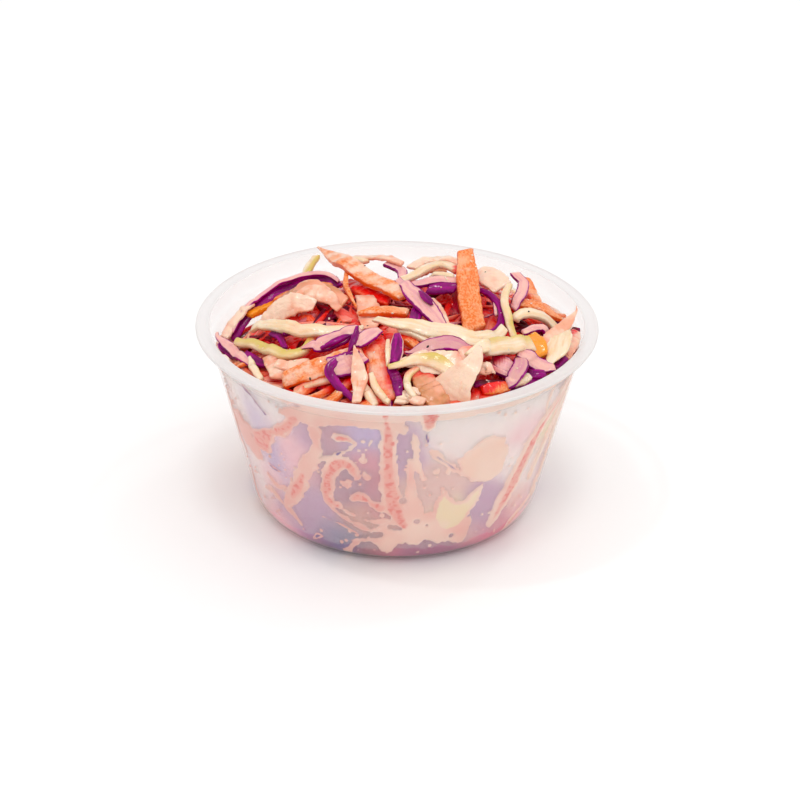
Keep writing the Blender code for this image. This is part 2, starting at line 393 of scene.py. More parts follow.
def loft_shred(
    kind, route, width, thick, facing, rng, sides=10, ends=(0.8, 0.8), roll=0.0, twist=0.0, gutter=0.0,
    ruffle=0.0, wrinkle=0.0, ragged=0.08, boxy=0.5, skin=(0.0, 0.0, 0.0), coat=0.5, tint=None, shade=0.0,
):
    """Lofts one shred along a route. `facing` is the way its broad face looks. The section is
    (|cos a| ** boxy, |sin a| ** boxy) scaled to half the width and thickness. `gutter` bends the
    section into one, `ruffle` waves its edges, `wrinkle` creases its face, and `twist` turns it along its
    length, in degrees. `ends` are widths: at the start and the end, or at even places along it. `coat`
    is its share of dressing, `tint` its variety of colour, and `shade` adds painted shade, as red and dark
    as if it lay deeper."""
    step = np.linalg.norm(np.diff(route, axis=0), axis=1)
    along = np.concatenate([[0.0], np.cumsum(step)])
    length = along[-1]
    rim = min(0.3 * thick, 0.2 * length)
    rows = np.concatenate([[0.0], np.linspace(rim, length - rim, len(route) - 2), [length]])
    route = np.stack([np.interp(rows, along, line) for line in route.T], 1)
    facing = np.broadcast_to(facing, route.shape)
    ahead = np.gradient(route, axis=0)
    ahead /= np.linalg.norm(ahead, axis=1, keepdims=True) + 1e-9
    side = np.cross(ahead, facing)
    side /= np.linalg.norm(side, axis=1, keepdims=True) + 1e-9
    up = np.cross(side, ahead)
    share = rows / length
    turn = np.radians(roll + twist * (share - 0.5))[:, None]
    side, up = side * np.cos(turn) + up * np.sin(turn), up * np.cos(turn) - side * np.sin(turn)

    taper = np.interp(share, np.linspace(0.0, 1.0, len(ends)), ends)
    if len(ends) == 2:
        taper = ends[0] + (1 - ends[0]) * ramp(share, 0.0, 0.4)
        taper = taper * (ends[1] + (1 - ends[1]) * ramp(share, 1.0, 0.6))
    # The end rows are a little smaller than the ones beside them, so the shred ends blunt, not sharp.
    blunt = np.ones(len(rows))
    blunt[[0, -1]] = 0.6
    left = 0.5 * width * taper * (1.0 + ragged * wander(rows, (1.3, 2.6, 6.0), rng))
    right = 0.5 * width * taper * (1.0 + ragged * wander(rows, (1.3, 2.6, 6.0), rng))
    left[[0, -1]] *= 0.88
    right[[0, -1]] *= 0.88
    angle = np.arange(sides) * 2.0 * np.pi / sides
    across = np.sign(np.cos(angle)) * np.abs(np.cos(angle)) ** boxy
    through = np.sign(np.sin(angle)) * np.abs(np.sin(angle)) ** boxy
    across[np.abs(across) < 1e-6] = 0.0
    through[np.abs(through) < 1e-6] = 0.0
    half = np.where(across > 0, right[:, None], left[:, None])
    wide = across * half
    waves = wander(rows, (4.0, 7.0), rng)[:, None]
    lumps = ragged * wander(rows[:, None] + 3.0 * across, (1.7, 3.1), rng)
    offset = 0.5 * thick * through * (blunt * np.sqrt(taper))[:, None] * (1.0 + lumps)
    creases = wander(rows[:, None] + 1.2 * wide, (2.1, 3.4), rng)
    creases = creases * wander(rows[:, None] - 0.9 * wide, (3.0, 4.7), rng)
    offset = offset + wrinkle * creases * taper[:, None]
    offset = offset - gutter * width * (across**2 - 0.4) * taper[:, None]
    offset = offset + ruffle * width * across * np.abs(across) * waves
    slant = rng.uniform(-0.5, 0.5) * np.exp(-np.minimum(rows, length - rows) / 2.0)[:, None] * wide
    ring = route[:, None] + side[:, None] * wide[..., None] + up[:, None] * offset[..., None]
    ring = ring + ahead[:, None] * slant[..., None]
    place = rng.uniform(0.0, 400.0, 3)
    grain = np.stack([rows[:, None] + slant, wide, offset], -1) + place
    section = np.stack(np.broadcast_arrays(across, through, share[:, None]), -1)
    tips = ring[[0, -1]].mean(1)
    points = np.concatenate([ring.reshape(-1, 3), tips])
    own_tint = rng.uniform()
    shreds[kind].append(
        {
            "points": points,
            "shape": (len(rows), sides),
            "grain": np.concatenate([grain.reshape(-1, 3), grain[[0, -1]].mean(1)]),
            "section": np.concatenate([section.reshape(-1, 3), [[0, 0, 0], [0, 0, 1]]]),
            "skin": np.broadcast_to(skin, points.shape),
            "look": np.broadcast_to([own_tint if tint is None else tint, coat, shade], points.shape),
            "middle": np.concatenate([np.repeat(route[:, 2], sides), route[[0, -1], 2]]),
        }
    )


# %% Let a shred down on the heap
LIFT = 0.6  # a set shred may be lifted this far by what lies under it
SETTLING = 50  # rounds in which a shred bends to what is under it
LEVEL = 0.6  # a shred's face leans this share of the mound's slope


def keep_inside(x, y, z, half, margin):
    """Moves points that lie too far out to the inside of the wall at their height. A strip that runs
    along the wall needs room for half its width, and one that points at the wall needs hardly any."""
    ahead_x, ahead_y = np.gradient(x), np.gradient(y)
    out = np.hypot(x, y) + 1e-6
    broadside = np.abs(ahead_x * y - ahead_y * x) / (out * (np.hypot(ahead_x, ahead_y) + 1e-6))
    limit = np.minimum(1.0, (inner_r(z) - half * broadside - 0.02 * half**2 - margin) / out)
    return x * limit, y * limit


def lay_shred(
    kind, plan, width, thick, rng, rise=None, top=-0.3, sink=0.25, tilt=0.0, limber=0.05, lean=(0.0, 0.0),
    count=16, margin=0.45, **finish,
):
    """Puts a shred on the pile. `plan` is its route seen from above. It rests on the highest cells under
    it, pressed in by `sink`, and bridges the dips between them: each point is at least the mean of its
    neighbours less `limber`. A filling shred stays `top` over the mound at most. A set one has its own
    `rise` over the mound, along its route."""
    plan = spline(plan, count)
    lie = np.radians(tilt)
    half = 0.5 * (width * abs(np.cos(lie)) + thick * abs(np.sin(lie)))
    tall = width * abs(np.sin(lie)) + thick * abs(np.cos(lie))
    x, y = keep_inside(plan[:, 0], plan[:, 1], mound(plan[:, 0], plan[:, 1]) - COVER, half, margin)
    under = pile_under(x, y, half)
    if rise is None:
        low = np.minimum(under - sink, mound(x, y) + top - tall)
    else:
        set_rise = np.interp(np.linspace(0.0, 1.0, count), np.linspace(0.0, 1.0, len(rise)), rise)
        low = mound(x, y) + set_rise - tall
        low = np.clip(under, low, low + LIFT)
    for _ in range(SETTLING):
        low[1:-1] = np.maximum(low[1:-1], 0.5 * (low[:-2] + low[2:]) - limber)
    x, y = keep_inside(plan[:, 0], plan[:, 1], low, half, margin)
    raise_pile(x, y, np.full(count, half), low + tall)
    route = np.stack([x, y, low + 0.5 * tall], 1)
    slope_x = (mound(x + 1.0, y) - mound(x - 1.0, y)) / 2.0
    slope_y = (mound(x, y + 1.0) - mound(x, y - 1.0)) / 2.0
    facing = np.stack([-LEVEL * slope_x + lean[0], -LEVEL * slope_y + lean[1], np.ones(count)], 1)
    loft_shred(kind, route, width, thick, facing, rng, roll=tilt, **finish)
    return route


# %% [markdown]
# ## What each kind looks like
# A grater and a knife leave different shreds. Carrot is cut in straight, stiff, boxy sticks with a grainy
# face. White cabbage comes off in limp, round-edged strands. Red cabbage is the cut edge of thin leaves:
# a pale lilac face with a thin purple line on both sides, or, seen from the leaf's side, deep purple all
# over. Soft leaf pieces are broad, thin and fully coated, so they show the dressing's own peach colour.
# One table holds the ranges, and a function draws a random shred of a kind from it.

# %% Ranges for each kind
KINDS = {
    "carrot_shreds": {
        "width": (1.6, 3.2), "thick": (1.1, 1.8), "length": (12.0, 26.0), "bend": 14.0, "limber": 0.015,
        "ragged": 0.09, "gutter": (0.0, 0.04), "ruffle": (0.0, 0.0), "boxy": 0.45, "sway": 25.0,
    },
    "red_cabbage_shreds": {
        "width": (1.4, 2.8), "thick": (0.7, 1.2), "length": (9.0, 24.0), "bend": 55.0, "limber": 0.06,
        "ragged": 0.07, "gutter": (0.0, 0.12), "ruffle": (0.0, 0.08), "boxy": 0.55, "sway": 40.0,
    },
    "white_cabbage_shreds": {
        "width": (1.2, 2.4), "thick": (0.6, 1.1), "length": (12.0, 30.0), "bend": 70.0, "limber": 0.09,
        "ragged": 0.06, "gutter": (0.0, 0.1), "ruffle": (0.0, 0.06), "boxy": 0.5, "sway": 40.0,
    },
    "dressed_leaves": {
        "width": (2.2, 4.6), "thick": (0.5, 0.9), "length": (7.0, 16.0), "bend": 35.0, "limber": 0.12,
        "ragged": 0.09, "gutter": (0.03, 0.16), "ruffle": (0.05, 0.16), "boxy": 0.6, "sway": 30.0,
    },
}
# How purple the edges, the face and the back of a random shred of red cabbage may be.
SKINS = ((1.0, 0.0, 0.0), (1.0, 0.0, 0.0), (0.9, 1.0, 1.0), (1.0, 0.0, 1.0))


def random_shred(kind, start, heading, rng):
    """A random shred of a kind: its bent route seen from above, around `start`, and its sizes."""
    ranges = KINDS[kind]
    length = rng.uniform(*ranges["length"])
    bend = np.radians(rng.normal(0.0, ranges["bend"]))
    turn = heading + bend * np.array([-0.5, 0.0, 0.5, 0.6])
    steps = length / 4.0 * np.stack([np.cos(turn), np.sin(turn)], 1)
    plan = start + np.concatenate([[[0.0, 0.0]], np.cumsum(steps, 0)]) - steps.sum(0) / 2.0
    finish = {
        "width": rng.uniform(*ranges["width"]),
        "thick": rng.uniform(*ranges["thick"]),
        "ends": tuple(rng.uniform(0.45, 1.0, 2)),
        "tilt": rng.normal(0.0, ranges["sway"]),
        "twist": rng.normal(0.0, 25.0),
        "gutter": rng.uniform(*ranges["gutter"]),
        "ruffle": rng.uniform(*ranges["ruffle"]),
        "ragged": ranges["ragged"],
        "boxy": ranges["boxy"],
        "limber": ranges["limber"],
        "coat": rng.uniform(0.2, 1.0),
    }
    if kind == "red_cabbage_shreds":
        finish["skin"] = SKINS[rng.integers(len(SKINS))]
    return plan, finish


# %% Fill the heap from below
def fill_heap(shares, count, top, slim, rng):
    """Lays random shreds where the pile is furthest below `top` over the mound, so it grows evenly. Their
    widths and thicknesses are `slim` times those of their kind."""
    kinds = list(shares)
    chance = np.array([shares[kind] for kind in kinds])
    inside = np.hypot(cell_x, cell_y) < inner_r(mound(cell_x, cell_y)) - 1.2
    target = mound(cell_x, cell_y) + top
    laid = 0
    for _ in range(count):
        need = np.where(inside, np.maximum(0.0, target - pile), 0.0) ** 2
        if need.max() < 0.25:  # nowhere more than half a millimetre short
            break
        pick = rng.choice(need.size, p=need.ravel() / need.sum())
        start = np.array([cell_x.flat[pick], cell_y.flat[pick]])
        kind = kinds[rng.choice(len(kinds), p=chance / chance.sum())]
        plan, finish = random_shred(kind, start, rng.uniform(0.0, 2.0 * np.pi), rng)
        finish["width"] *= slim
        finish["thick"] *= slim
        lay_shred(kind, plan, rng=rng, count=14, sides=8, margin=1.3, **finish)
        laid += 1
    return laid


MIX = {
    "carrot_shreds": 0.36,
    "red_cabbage_shreds": 0.26,
    "white_cabbage_shreds": 0.16,
    "dressed_leaves": 0.22,
}
heap_rng = np.random.default_rng(21)
laid = fill_heap(MIX, count=420, top=-1.4, slim=1.0, rng=heap_rng)
laid += fill_heap(MIX, count=130, top=-0.6, slim=0.55, rng=heap_rng)
over = float((pile - mound(cell_x, cell_y)).max())
print("laid", laid, "shreds under the top; the pile is up to", round(over, 1), "mm over the mound")

# %% [markdown]
# ## The shreds on top
# The top of the heap is what the eye knows it by: the carrot stick that stands up, the long pale strand
# across the front, the purple bow at the left. These are laid one by one, from the lower ones to the
# upper ones, with the same rules as the random ones. Each has its route seen from above, and how far its
# top rises over the smooth mound along the way.

# %% How a set shred is laid
CUT = (1.0, 0.0, 0.0)  # pale face with purple edges
FLUSHED = (1.0, 0.4, 0.0)  # lilac face with purple edges
LEAF = (1.0, 1.0, 1.0)  # purple all over
hand_rng = np.random.default_rng(8)


def set_shred(kind, points, rise, width, thick, lean=(0.0, -0.3), **finish):
    """A set shred: cut finer than the random ones, and turned a little to the front."""
    own = {key: KINDS[kind][key] for key in ("limber", "ragged", "boxy")}
    own.update(finish)
    sides = 16 if width < 3.0 else 28  # a broad one needs more points across to crease
    lay_shred(kind, points, width, thick, hand_rng, rise=rise, lean=lean, count=36, sides=sides, **own)


def carrot(points, rise, width, thick=1.4, **finish):
    """A stiff stick of grated carrot."""
    set_shred("carrot_shreds", points, rise, width, thick, **finish)


def red_cabbage(points, rise, width, thick=0.9, skin=CUT, **finish):
    """A strip of red cabbage, cut across the leaf unless another skin is given."""
    set_shred("red_cabbage_shreds", points, rise, width, thick, skin=skin, **finish)


def white_cabbage(points, rise, width, thick=1.1, **finish):
    """A limp strand of white cabbage."""
    set_shred("white_cabbage_shreds", points, rise, width, thick, **finish)


def leaf(points, rise, width, thick=0.8, coat=0.9, wrinkle=0.15, **finish):
    """A soft piece of leaf, coated all over and creased."""
    set_shred("dressed_leaves", points, rise, width, thick, coat=coat, wrinkle=wrinkle, **finish)


def count_shreds(group):
    """Prints how many shreds of each kind are made so far."""
    print("%-16s" % group, {kind: len(made) for kind, made in shreds.items()})


count_shreds("random")

# %% Low ones, seen in the gaps and along the rim
carrot(
    [(-3.8, -16), (-3.4, -21), (-2.6, -26), (-1.8, -31)], (0.9, 0.8, 0.6, 0.3), 4.2,
    coat=0.8, shade=0.35, ends=(0.6, 0.9),
)
carrot([(-6, -18), (-4.8, -23), (-4.4, -28)], (0.7, 0.6, 0.2), 1.6, coat=0.6, shade=0.2)
carrot([(-9.5, 8), (-6, 2), (-1.5, -2)], (1.1, 1.3, 0.7), 3.0, coat=0.0, shade=0.7)
carrot([(0, -16), (3, -18.5), (5, -20)], (1.2, 1.4, 0.8), 1.8, coat=0.1)
carrot([(-30, -11), (-27, -15), (-25, -18)], (-0.8, -0.7, -0.9), 1.3)
carrot(
    [(14.8, -28), (17, -27.6), (19.6, -26.4)], (0.8, 1.0, 0.8), 2.2,
    coat=0.2, shade=0.35, lean=(0, -0.6),
)
carrot([(-27.5, 0), (-25, 3), (-21, 5.5)], (3.4, 4.0, 4.0), 2.0, coat=0.0, tint=1.7, lean=(0, -0.8))
leaf(
    [(3.4, -25), (5.6, -28.6), (8, -32.4)], (1.1, 1.2, 0.4), 4.2, 1.5,
    coat=0.2, tint=-0.8, ends=(0.8, 1.0), boxy=0.4, wrinkle=0.0,
)
red_cabbage([(33.5, 0), (32, -4.5), (30.5, -8)], (1.3, 0.9, 0.5), 2.0, skin=LEAF)
red_cabbage([(31, -11), (30, -14), (28.5, -17)], (0.8, 0.8, 0.2), 1.7, skin=LEAF)
red_cabbage([(23, -20), (24.5, -21), (26.5, -20)], (1.4, 1.0, 0.5), 2.0, skin=LEAF)
red_cabbage([(19, -27), (22.5, -24), (26, -20.5)], (0.0, 0.2, -0.1), 1.4, skin=LEAF)
red_cabbage([(21, -5), (24, -3)], (1.2, 1.1), 1.4, skin=LEAF)
red_cabbage([(24.5, -7), (27.5, -5)], (0.7, 0.9), 0.9, skin=LEAF)
red_cabbage([(-27.5, -12), (-24.5, -16), (-22, -16.5)], (0.8, 0.4, 0.0), 1.8, skin=LEAF)
red_cabbage([(4, -5), (3, -12.5)], (2.1, 2.0), 2.2, skin=LEAF)
white_cabbage([(20.6, -25.6), (22.2, -24), (23.6, -22)], (1.2, 1.4, 1.2), 1.7, coat=0.8, shade=-0.5)
white_cabbage([(-18, -26), (-14.5, -25.5), (-10.5, -26)], (0.2, 0.7, 0.8), 1.6, coat=0.8)
leaf([(34.5, -2), (32.5, -8), (30.5, -13)], (1.1, 1.3, 1.0), 2.2)
leaf([(0.5, -32), (1.5, -30.5), (4, -29.5)], (0.5, 1.1, 0.8), 2.3)
leaf([(-32, -4), (-31, -2), (-29, 0), (-27, 2.5)], (0.9, 3.3, 4.7, 5.0), 2.4)
count_shreds("low")

# %% The left side: the purple bow and the leaves inside it
leaf(
    [(-23, 1.5), (-18, 0.8), (-13, -1), (-9.5, -3.5)], (2.6, 2.2, 1.6, 0.8), 4.4,
    ends=(0.5, 0.7), tint=-0.7, coat=0.3,
)
leaf(
    [(-25.5, -4.4), (-22.5, -4), (-18.6, -4.8), (-15, -5.6)], (0.6, 1.4, 1.9, 1.2), 4.6,
    ends=(0.2, 0.9, 1.0, 0.5), lean=(0, -0.9), wrinkle=0.25, tint=0.6,
)
leaf(
    [(-19.5, -2.4), (-16.5, -2.6), (-13, -4), (-10.5, -6)], (1.5, 2.1, 1.6, 0.7), 3.2,
    ends=(0.3, 0.5), lean=(0, -0.6), wrinkle=0.3, tint=0.0, ruffle=0.1,
)
leaf(
    [(-19.5, 0.8), (-16.5, -0.2), (-12.5, -2)], (1.3, 1.6, 1.0), 4.0,
    ends=(0.4, 0.5), lean=(0, -0.9), tint=-0.2, coat=0.5,
)
carrot([(-23, 3.6), (-17.5, 5), (-12.5, 4)], (3.6, 2.9, 1.5), 2.2, coat=0.3, shade=0.15)
red_cabbage([(-23, -10), (-21, -12.5), (-20, -15)], (1.7, 2.0, 1.3), 1.3, skin=LEAF)
red_cabbage([(-20.5, -12.5), (-18, -12)], (2.1, 2.4), 0.8, skin=LEAF)
red_cabbage(
    [(-34.5, -3), (-31.5, -6.5), (-28.5, -12), (-26, -16)], (1.6, 0.9, 1.0, 0.6), 2.1,
    ends=(0.3, 0.6), coat=0.9, tint=1.0,
)
red_cabbage([(-33.5, -5), (-30.5, -9), (-27, -14)], (0.4, 0.0, 0.0), 1.0, skin=LEAF)
BOW = [(-30.5, -3), (-28.5, 0), (-26, 3.5), (-22, 6.5), (-18, 8), (-14, 7), (-11, 4.5)]
red_cabbage(
    BOW, (0.0, 2.7, 5.0, 6.5, 5.3, 2.9, 1.2), 2.5, 0.8,
    skin=LEAF, lean=(0.1, -1.6), limber=9, ragged=0.04,
)
red_cabbage(
    BOW, (1.5, 4.3, 6.7, 8.1, 6.9, 4.4, 2.3), 1.1, 0.6,
    lean=(0.0, -0.9), limber=9, ragged=0.04, tint=0.8,
)
white_cabbage([(-26.5, -15), (-25.5, -18), (-24, -21)], (1.8, 1.3, 0.3), 1.4, ends=(0.4, 0.9), coat=0.9)
leaf([(-23, -16), (-21.5, -19.5), (-21, -22.5)], (1.6, 1.3, 1.0), 3.2)
leaf([(-21.5, -20), (-18.5, -21), (-15.5, -21)], (1.9, 1.9, 1.7), 2.3)
white_cabbage(
    [(-29.5, -8), (-26, -11.5), (-23, -15), (-19.5, -17.8), (-16.5, -17.5), (-15, -14)],
    (2.2, 2.7, 2.5, 2.3, 2.1, 2.2), 2.1, 1.5, ends=(0.8, 0.7), ragged=0.04, coat=0.2, tint=1.3, boxy=0.7,
)
white_cabbage(
    [(-26.5, -6), (-21.5, -10.5), (-18, -13.5), (-14.5, -14.5), (-10.5, -15), (-6, -16)],
    (2.2, 3.1, 3.3, 2.9, 2.8, 2.3), 2.5, 1.4, ends=(0.6, 0.4), coat=0.8, tint=0.1, lean=(0, -0.5),
)
count_shreds("left")

# %% The middle: the dull carrot stick and the cabbage around it
leaf([(-6, 0), (-5, -7), (-5, -13)], (0.5, 0.9, 0.7), 4.4, ends=(0.8, 0.6), tint=-0.2)
carrot([(-7, -9), (-3, -8), (2, -8.5)], (2.0, 2.3, 2.2), 2.0, ends=(0.5, 0.9), coat=0.5)
carrot(
    [(-20, -24), (-15, -24), (-11, -23.5), (-6, -22)], (1.5, 2.5, 2.5, 1.6), 3.9, 1.8,
    coat=0.6, lean=(0, -0.6),
)
red_cabbage(
    [(-11.5, -25), (-9, -25), (-6, -23.5)], (2.1, 1.9, 1.8), 4.4, 0.8,
    lean=(0, -0.8), ends=(0.9, 0.7),
)
red_cabbage(
    [(-6.5, -23.5), (-9.5, -24), (-11.8, -25.5), (-10.5, -28), (-8.5, -29.5), (-7, -31)],
    (2.4, 2.6, 2.5, 2.1, 0.8, 0.4), 1.7, 0.8, skin=LEAF, ends=(0.3, 0.6), lean=(0, -0.8),
)
red_cabbage(
    [(-17, -18), (-13.5, -18), (-10, -18), (-6.5, -17.5)], (2.1, 2.4, 2.6, 2.5), 3.3,
    ends=(0.15, 0.6), lean=(0, -0.6), tint=0.2,
)
red_cabbage([(-13.5, -19.8), (-10.5, -19), (-7.5, -18.3)], (2.3, 2.3, 2.2), 1.2, skin=LEAF, ends=(0.5, 0.5))
red_cabbage([(-8, -22), (-5.5, -20.5), (-3, -17.5)], (2.9, 3.2, 2.6), 2.8, ends=(0.5, 0.5), lean=(0, -0.6))
red_cabbage([(-7, -18.5), (-7.5, -21.5), (-8.5, -23.5)], (3.7, 3.5, 2.7), 1.2, skin=LEAF, ends=(0.5, 0.3))
white_cabbage([(-6, -28.5), (-4.5, -30.5), (-3.5, -32)], (1.2, 0.8, 0.2), 1.8, coat=0.9)
white_cabbage([(-4.5, -27), (-3.5, -30), (-1.2, -32.5)], (1.6, 1.9, 1.3), 1.3, coat=0.9)
leaf(
    [(-7.5, -22.6), (-6.9, -26), (-6.4, -29), (-6.9, -32.5)], (3.2, 3.2, 2.9, 1.2), 3.1,
    ends=(0.05, 0.4, 0.75, 1.0, 0.6, 0.5), lean=(0, -0.8), ragged=0.03, wrinkle=0.05, tint=0.35,
)
red_cabbage(
    [(-1, -26), (0, -28), (0.5, -31)], (2.0, 1.5, 1.1), 1.9,
    skin=LEAF, ends=(0.8, 0.6), lean=(0, -0.6),
)
red_cabbage(
    [(0, -19), (0, -23), (-0.5, -26)], (3.0, 3.0, 2.6), 2.4,
    skin=(0.0, 1.0, 1.0), ends=(0.5, 0.8), lean=(0, -0.8),
)
white_cabbage([(-1.6, -20.5), (-1.6, -23.5), (-1.5, -26)], (2.7, 2.6, 2.0), 0.9, coat=0.9)
white_cabbage([(3.8, -25.5), (2, -27.5), (2, -29.5), (3.2, -31)], (1.8, 1.8, 1.7, 1.0), 1.3, coat=0.9)
leaf([(2.5, -31.2), (5, -31.8)], (0.8, 0.6), 1.8)
count_shreds("middle")

# %% The back: ribbons that lie against the far rim
red_cabbage([(-2.5, 15), (0.5, 12), (1, 7.5)], (3.5, 2.2, 1.4), 2.1)
leaf([(-8.5, 20), (-4.5, 18), (1, 13)], (5.2, 5.2, 3.0), 2.2, tint=0.2)
white_cabbage([(-9, 19.5), (-6, 17)], (4.5, 3.5), 1.7)
leaf([(3.6, 9.5), (6, 11.5), (9, 12.5)], (1.6, 2.0, 1.6), 2.4, tint=-0.9, coat=0.2)
leaf([(2.5, 12), (5.5, 15), (8.5, 15), (12.5, 12)], (2.6, 4.4, 4.4, 2.6), 2.6, coat=0.8, tint=0.8)
white_cabbage([(-16, 27), (-17.8, 22), (-17, 16)], (6.5, 4.5, 2.5), 2.0, tint=1.1, coat=0.6)
red_cabbage([(5.5, 0), (11, -0.5)], (2.5, 2.8), 2.3, skin=LEAF, lean=(0, -0.8))
red_cabbage([(2.5, 0.5), (7, 1.5), (11.5, 0.5)], (3.3, 3.2, 3.1), 1.9, tint=0.9)
white_cabbage([(0.5, 3), (4.5, 5.5), (8, 9), (11.5, 5)], (3.1, 3.7, 2.9, 2.3), 2.0, coat=0.7)
white_cabbage([(6, 3.5), (10.5, 1.5)], (2.8, 3.0), 1.1)
leaf([(6.3, -3), (8, -7.5), (9, -12)], (2.2, 1.9, 1.9), 1.4)
leaf([(15, 9.5), (17.2, 6.5), (19.5, 2.5)], (2.0, 2.4, 2.0), 5.4, tint=0.9, lean=(0, -0.9))
carrot([(24.3, 14), (25, 9), (26, 4.5)], (4.9, 3.1, 1.9), 3.0, coat=0.0, shade=0.1)
carrot([(22, 0), (26.5, 1.5), (31, 2)], (1.0, 2.4, 2.6), 2.6, ends=(0.8, 0.3), coat=0.4, shade=0.1)
red_cabbage([(22, 8.5), (23.5, 6), (23, 2), (21.3, -2.5)], (5.7, 4.4, 2.2, 0.5), 2.2, lean=(-0.2, -1.0))
count_shreds("back")

# %% The right side
red_cabbage(
    [(14.5, 0.5), (17, -1.5), (18.7, -4.5), (19, -7.5), (18, -10.5), (15.5, -13)],
    (2.0, 2.6, 2.6, 2.5, 1.8, 1.4), 1.4, 1.1, skin=LEAF, ends=(0.6, 0.8), lean=(0.2, -0.8),
)
red_cabbage([(16, -0.5), (17.7, -2.5), (18, -6.5)], (1.4, 1.6, 1.4), 0.8)
white_cabbage(
    [(20.8, 1), (19.6, -4), (20.2, -8.5), (21.2, -14)], (4.1, 3.9, 3.0, 2.7), 1.5,
    coat=0.4, lean=(-0.3, -0.3), tint=0.8,
)
white_cabbage(
    [(21.5, -6.5), (25, -3.6), (28, -2), (30, -2.8)], (1.8, 2.8, 2.5, 1.4), 2.2,
    coat=0.8, tint=0.4,
)
red_cabbage([(22.8, -9), (26, -6.6), (28.8, -7)], (1.6, 2.1, 1.5), 1.6, coat=0.9)
leaf(
    [(34, 0), (31, -5), (27.5, -10), (25.5, -15)], (6.0, 4.4, 2.7, 2.1), 2.4,
    ends=(0.08, 0.7), lean=(-0.3, -0.6), tint=0.2, coat=0.6,
)
white_cabbage(
    [(31, -3), (29.8, -9), (28.8, -14), (28.4, -19)], (2.6, 2.5, 2.1, 1.0), 4.4, 0.8,
    ends=(0.3, 0.3), lean=(-0.4, -0.5), tint=0.35,
)
red_cabbage([(17, -21.5), (19.5, -22), (21.5, -21.5)], (1.7, 2.3, 1.8), 3.8, ends=(0.7, 0.7))
red_cabbage(
    [(22, -17), (22, -21), (21, -24), (19.8, -27.5)], (2.3, 2.7, 2.1, 1.2), 2.9,
    ends=(0.5, 0.8), lean=(-0.2, -0.5), coat=0.7, skin=FLUSHED,
)
red_cabbage(
    [(21.5, -18), (24.5, -18.5), (27, -18.5), (29, -18.5)], (2.4, 2.5, 1.9, 0.7), 3.0,
    ends=(0.7, 0.5), lean=(0, -0.6),
)
carrot(
    [(24.2, -11.5), (25, -14.5), (25.6, -17)], (3.6, 3.1, 2.4), 3.9, 1.7,
    ends=(0.5, 0.9), coat=0.0, tint=1.7, lean=(0, -0.6), ragged=0.03,
)
red_cabbage([(13.5, -27.2), (16.5, -26.6), (19, -25.4)], (0.9, 1.1, 1.0), 1.5, skin=LEAF)
red_cabbage([(15.5, -23.5), (18, -24.2), (20.5, -23.8)], (1.6, 1.7, 1.4), 1.3, coat=0.7)
count_shreds("right")

# %% The front right: the broad peach blade, with green-edged strands over and under it
leaf(
    [(13.5, -24.8), (15.2, -25.4), (17.3, -25.6)], (2.8, 3.0, 2.4), 2.4,
    ends=(0.8, 0.15), shade=-1.0, tint=0.5,
)
leaf(
    [(0.5, -25.4), (4, -24.4), (8, -24.8), (11, -24.8), (13.5, -23.4)], (2.0, 2.6, 2.8, 2.7, 2.6), 4.6,
    ends=(0.3, 1.0), tint=0.9, lean=(0, -0.5),
)
red_cabbage(
    [(1.5, -23.5), (5, -21.5), (9, -21), (12, -22), (15, -21.3)], (2.6, 3.1, 3.4, 3.4, 2.7), 3.0,
    ends=(0.15, 0.15), lean=(0, -0.5), skin=FLUSHED, shade=0.12,
)
white_cabbage(
    [(-1.5, -27), (1, -26.5), (3.5, -25), (6.5, -25), (9, -26.5), (11, -28)],
    (2.8, 3.2, 3.0, 3.1, 2.8, 2.2), 2.9, 1.2, ends=(0.3, 0.45, 0.7, 1.0, 0.9, 0.6), coat=0.4, tint=0.65,
    lean=(0, -0.6),
)
leaf(
    [(14.6, -23), (13.4, -26.5), (11.8, -30), (10.3, -32.6), (10, -33.2)],
    (4.4, 4.4, 3.8, 1.6, -1.6), 8.6, 1.0, shade=-1.0, ends=(0.1, 0.3, 0.42, 0.6, 0.85, 1.0), ragged=0.015,
    wrinkle=0.1, tint=1.0,
)
white_cabbage(
    [(12.4, -24.6), (15.5, -22), (18.5, -19.4), (21.5, -17), (24.3, -15.4)],
    (3.8, 4.1, 4.2, 4.0, 3.4), 3.3, 1.5, ends=(0.4, 0.9), coat=0.4, lean=(0, -0.7), tint=0.6,
)
count_shreds("front right")

# %% The tall ones, last
red_cabbage(
    [(0, 1.5), (3.5, -5), (6, -9.5), (8.8, -15)], (3.5, 3.6, 3.1, 2.5), 3.6,
    ends=(0.4, 0.5), coat=0.5, lean=(0, -0.6),
)
red_cabbage([(4, -4.5), (6.3, -9)], (4.3, 3.9), 1.5, 0.5, skin=LEAF, ends=(0.3, 0.4))
white_cabbage([(0, -16.5), (4, -17.5), (7.5, -20)], (2.2, 2.5, 2.4), 1.6, coat=0.3)
white_cabbage(
    [(-4, -13.5), (-0.5, -16.3), (4, -16.5), (9, -18.5), (13.5, -20), (17, -17), (19.3, -12)],
    (3.0, 3.6, 3.5, 3.6, 3.2, 3.4, 3.2), 3.2, 1.2, ends=(0.4, 0.6), coat=0.7, ragged=0.07, lean=(0, -0.6),
    tint=0.1,
)
carrot(
    [(12.5, 7), (12.8, 2), (13.2, -4), (14, -11.5)], (6.3, 4.5, 3.2, 1.4), 4.2, 1.5,
    ends=(0.72, 1.0), lean=(0, -0.3), coat=0.0,
)
carrot([(-9.5, 9), (-9.5, 1), (-7.5, -5.5)], (4.4, 1.9, 0.6), 1.0, 0.8, ends=(0.7, 0.4), coat=0.1)
carrot(
    [(-15.5, 20), (-12, 13), (-9, 8), (-5, 3), (1.5, -3.5)], (9.4, 6.3, 4.2, 3.3, 2.2), 3.5, 1.4,
    ends=(0.12, 0.9), coat=0.8,
)
count_shreds("tall")

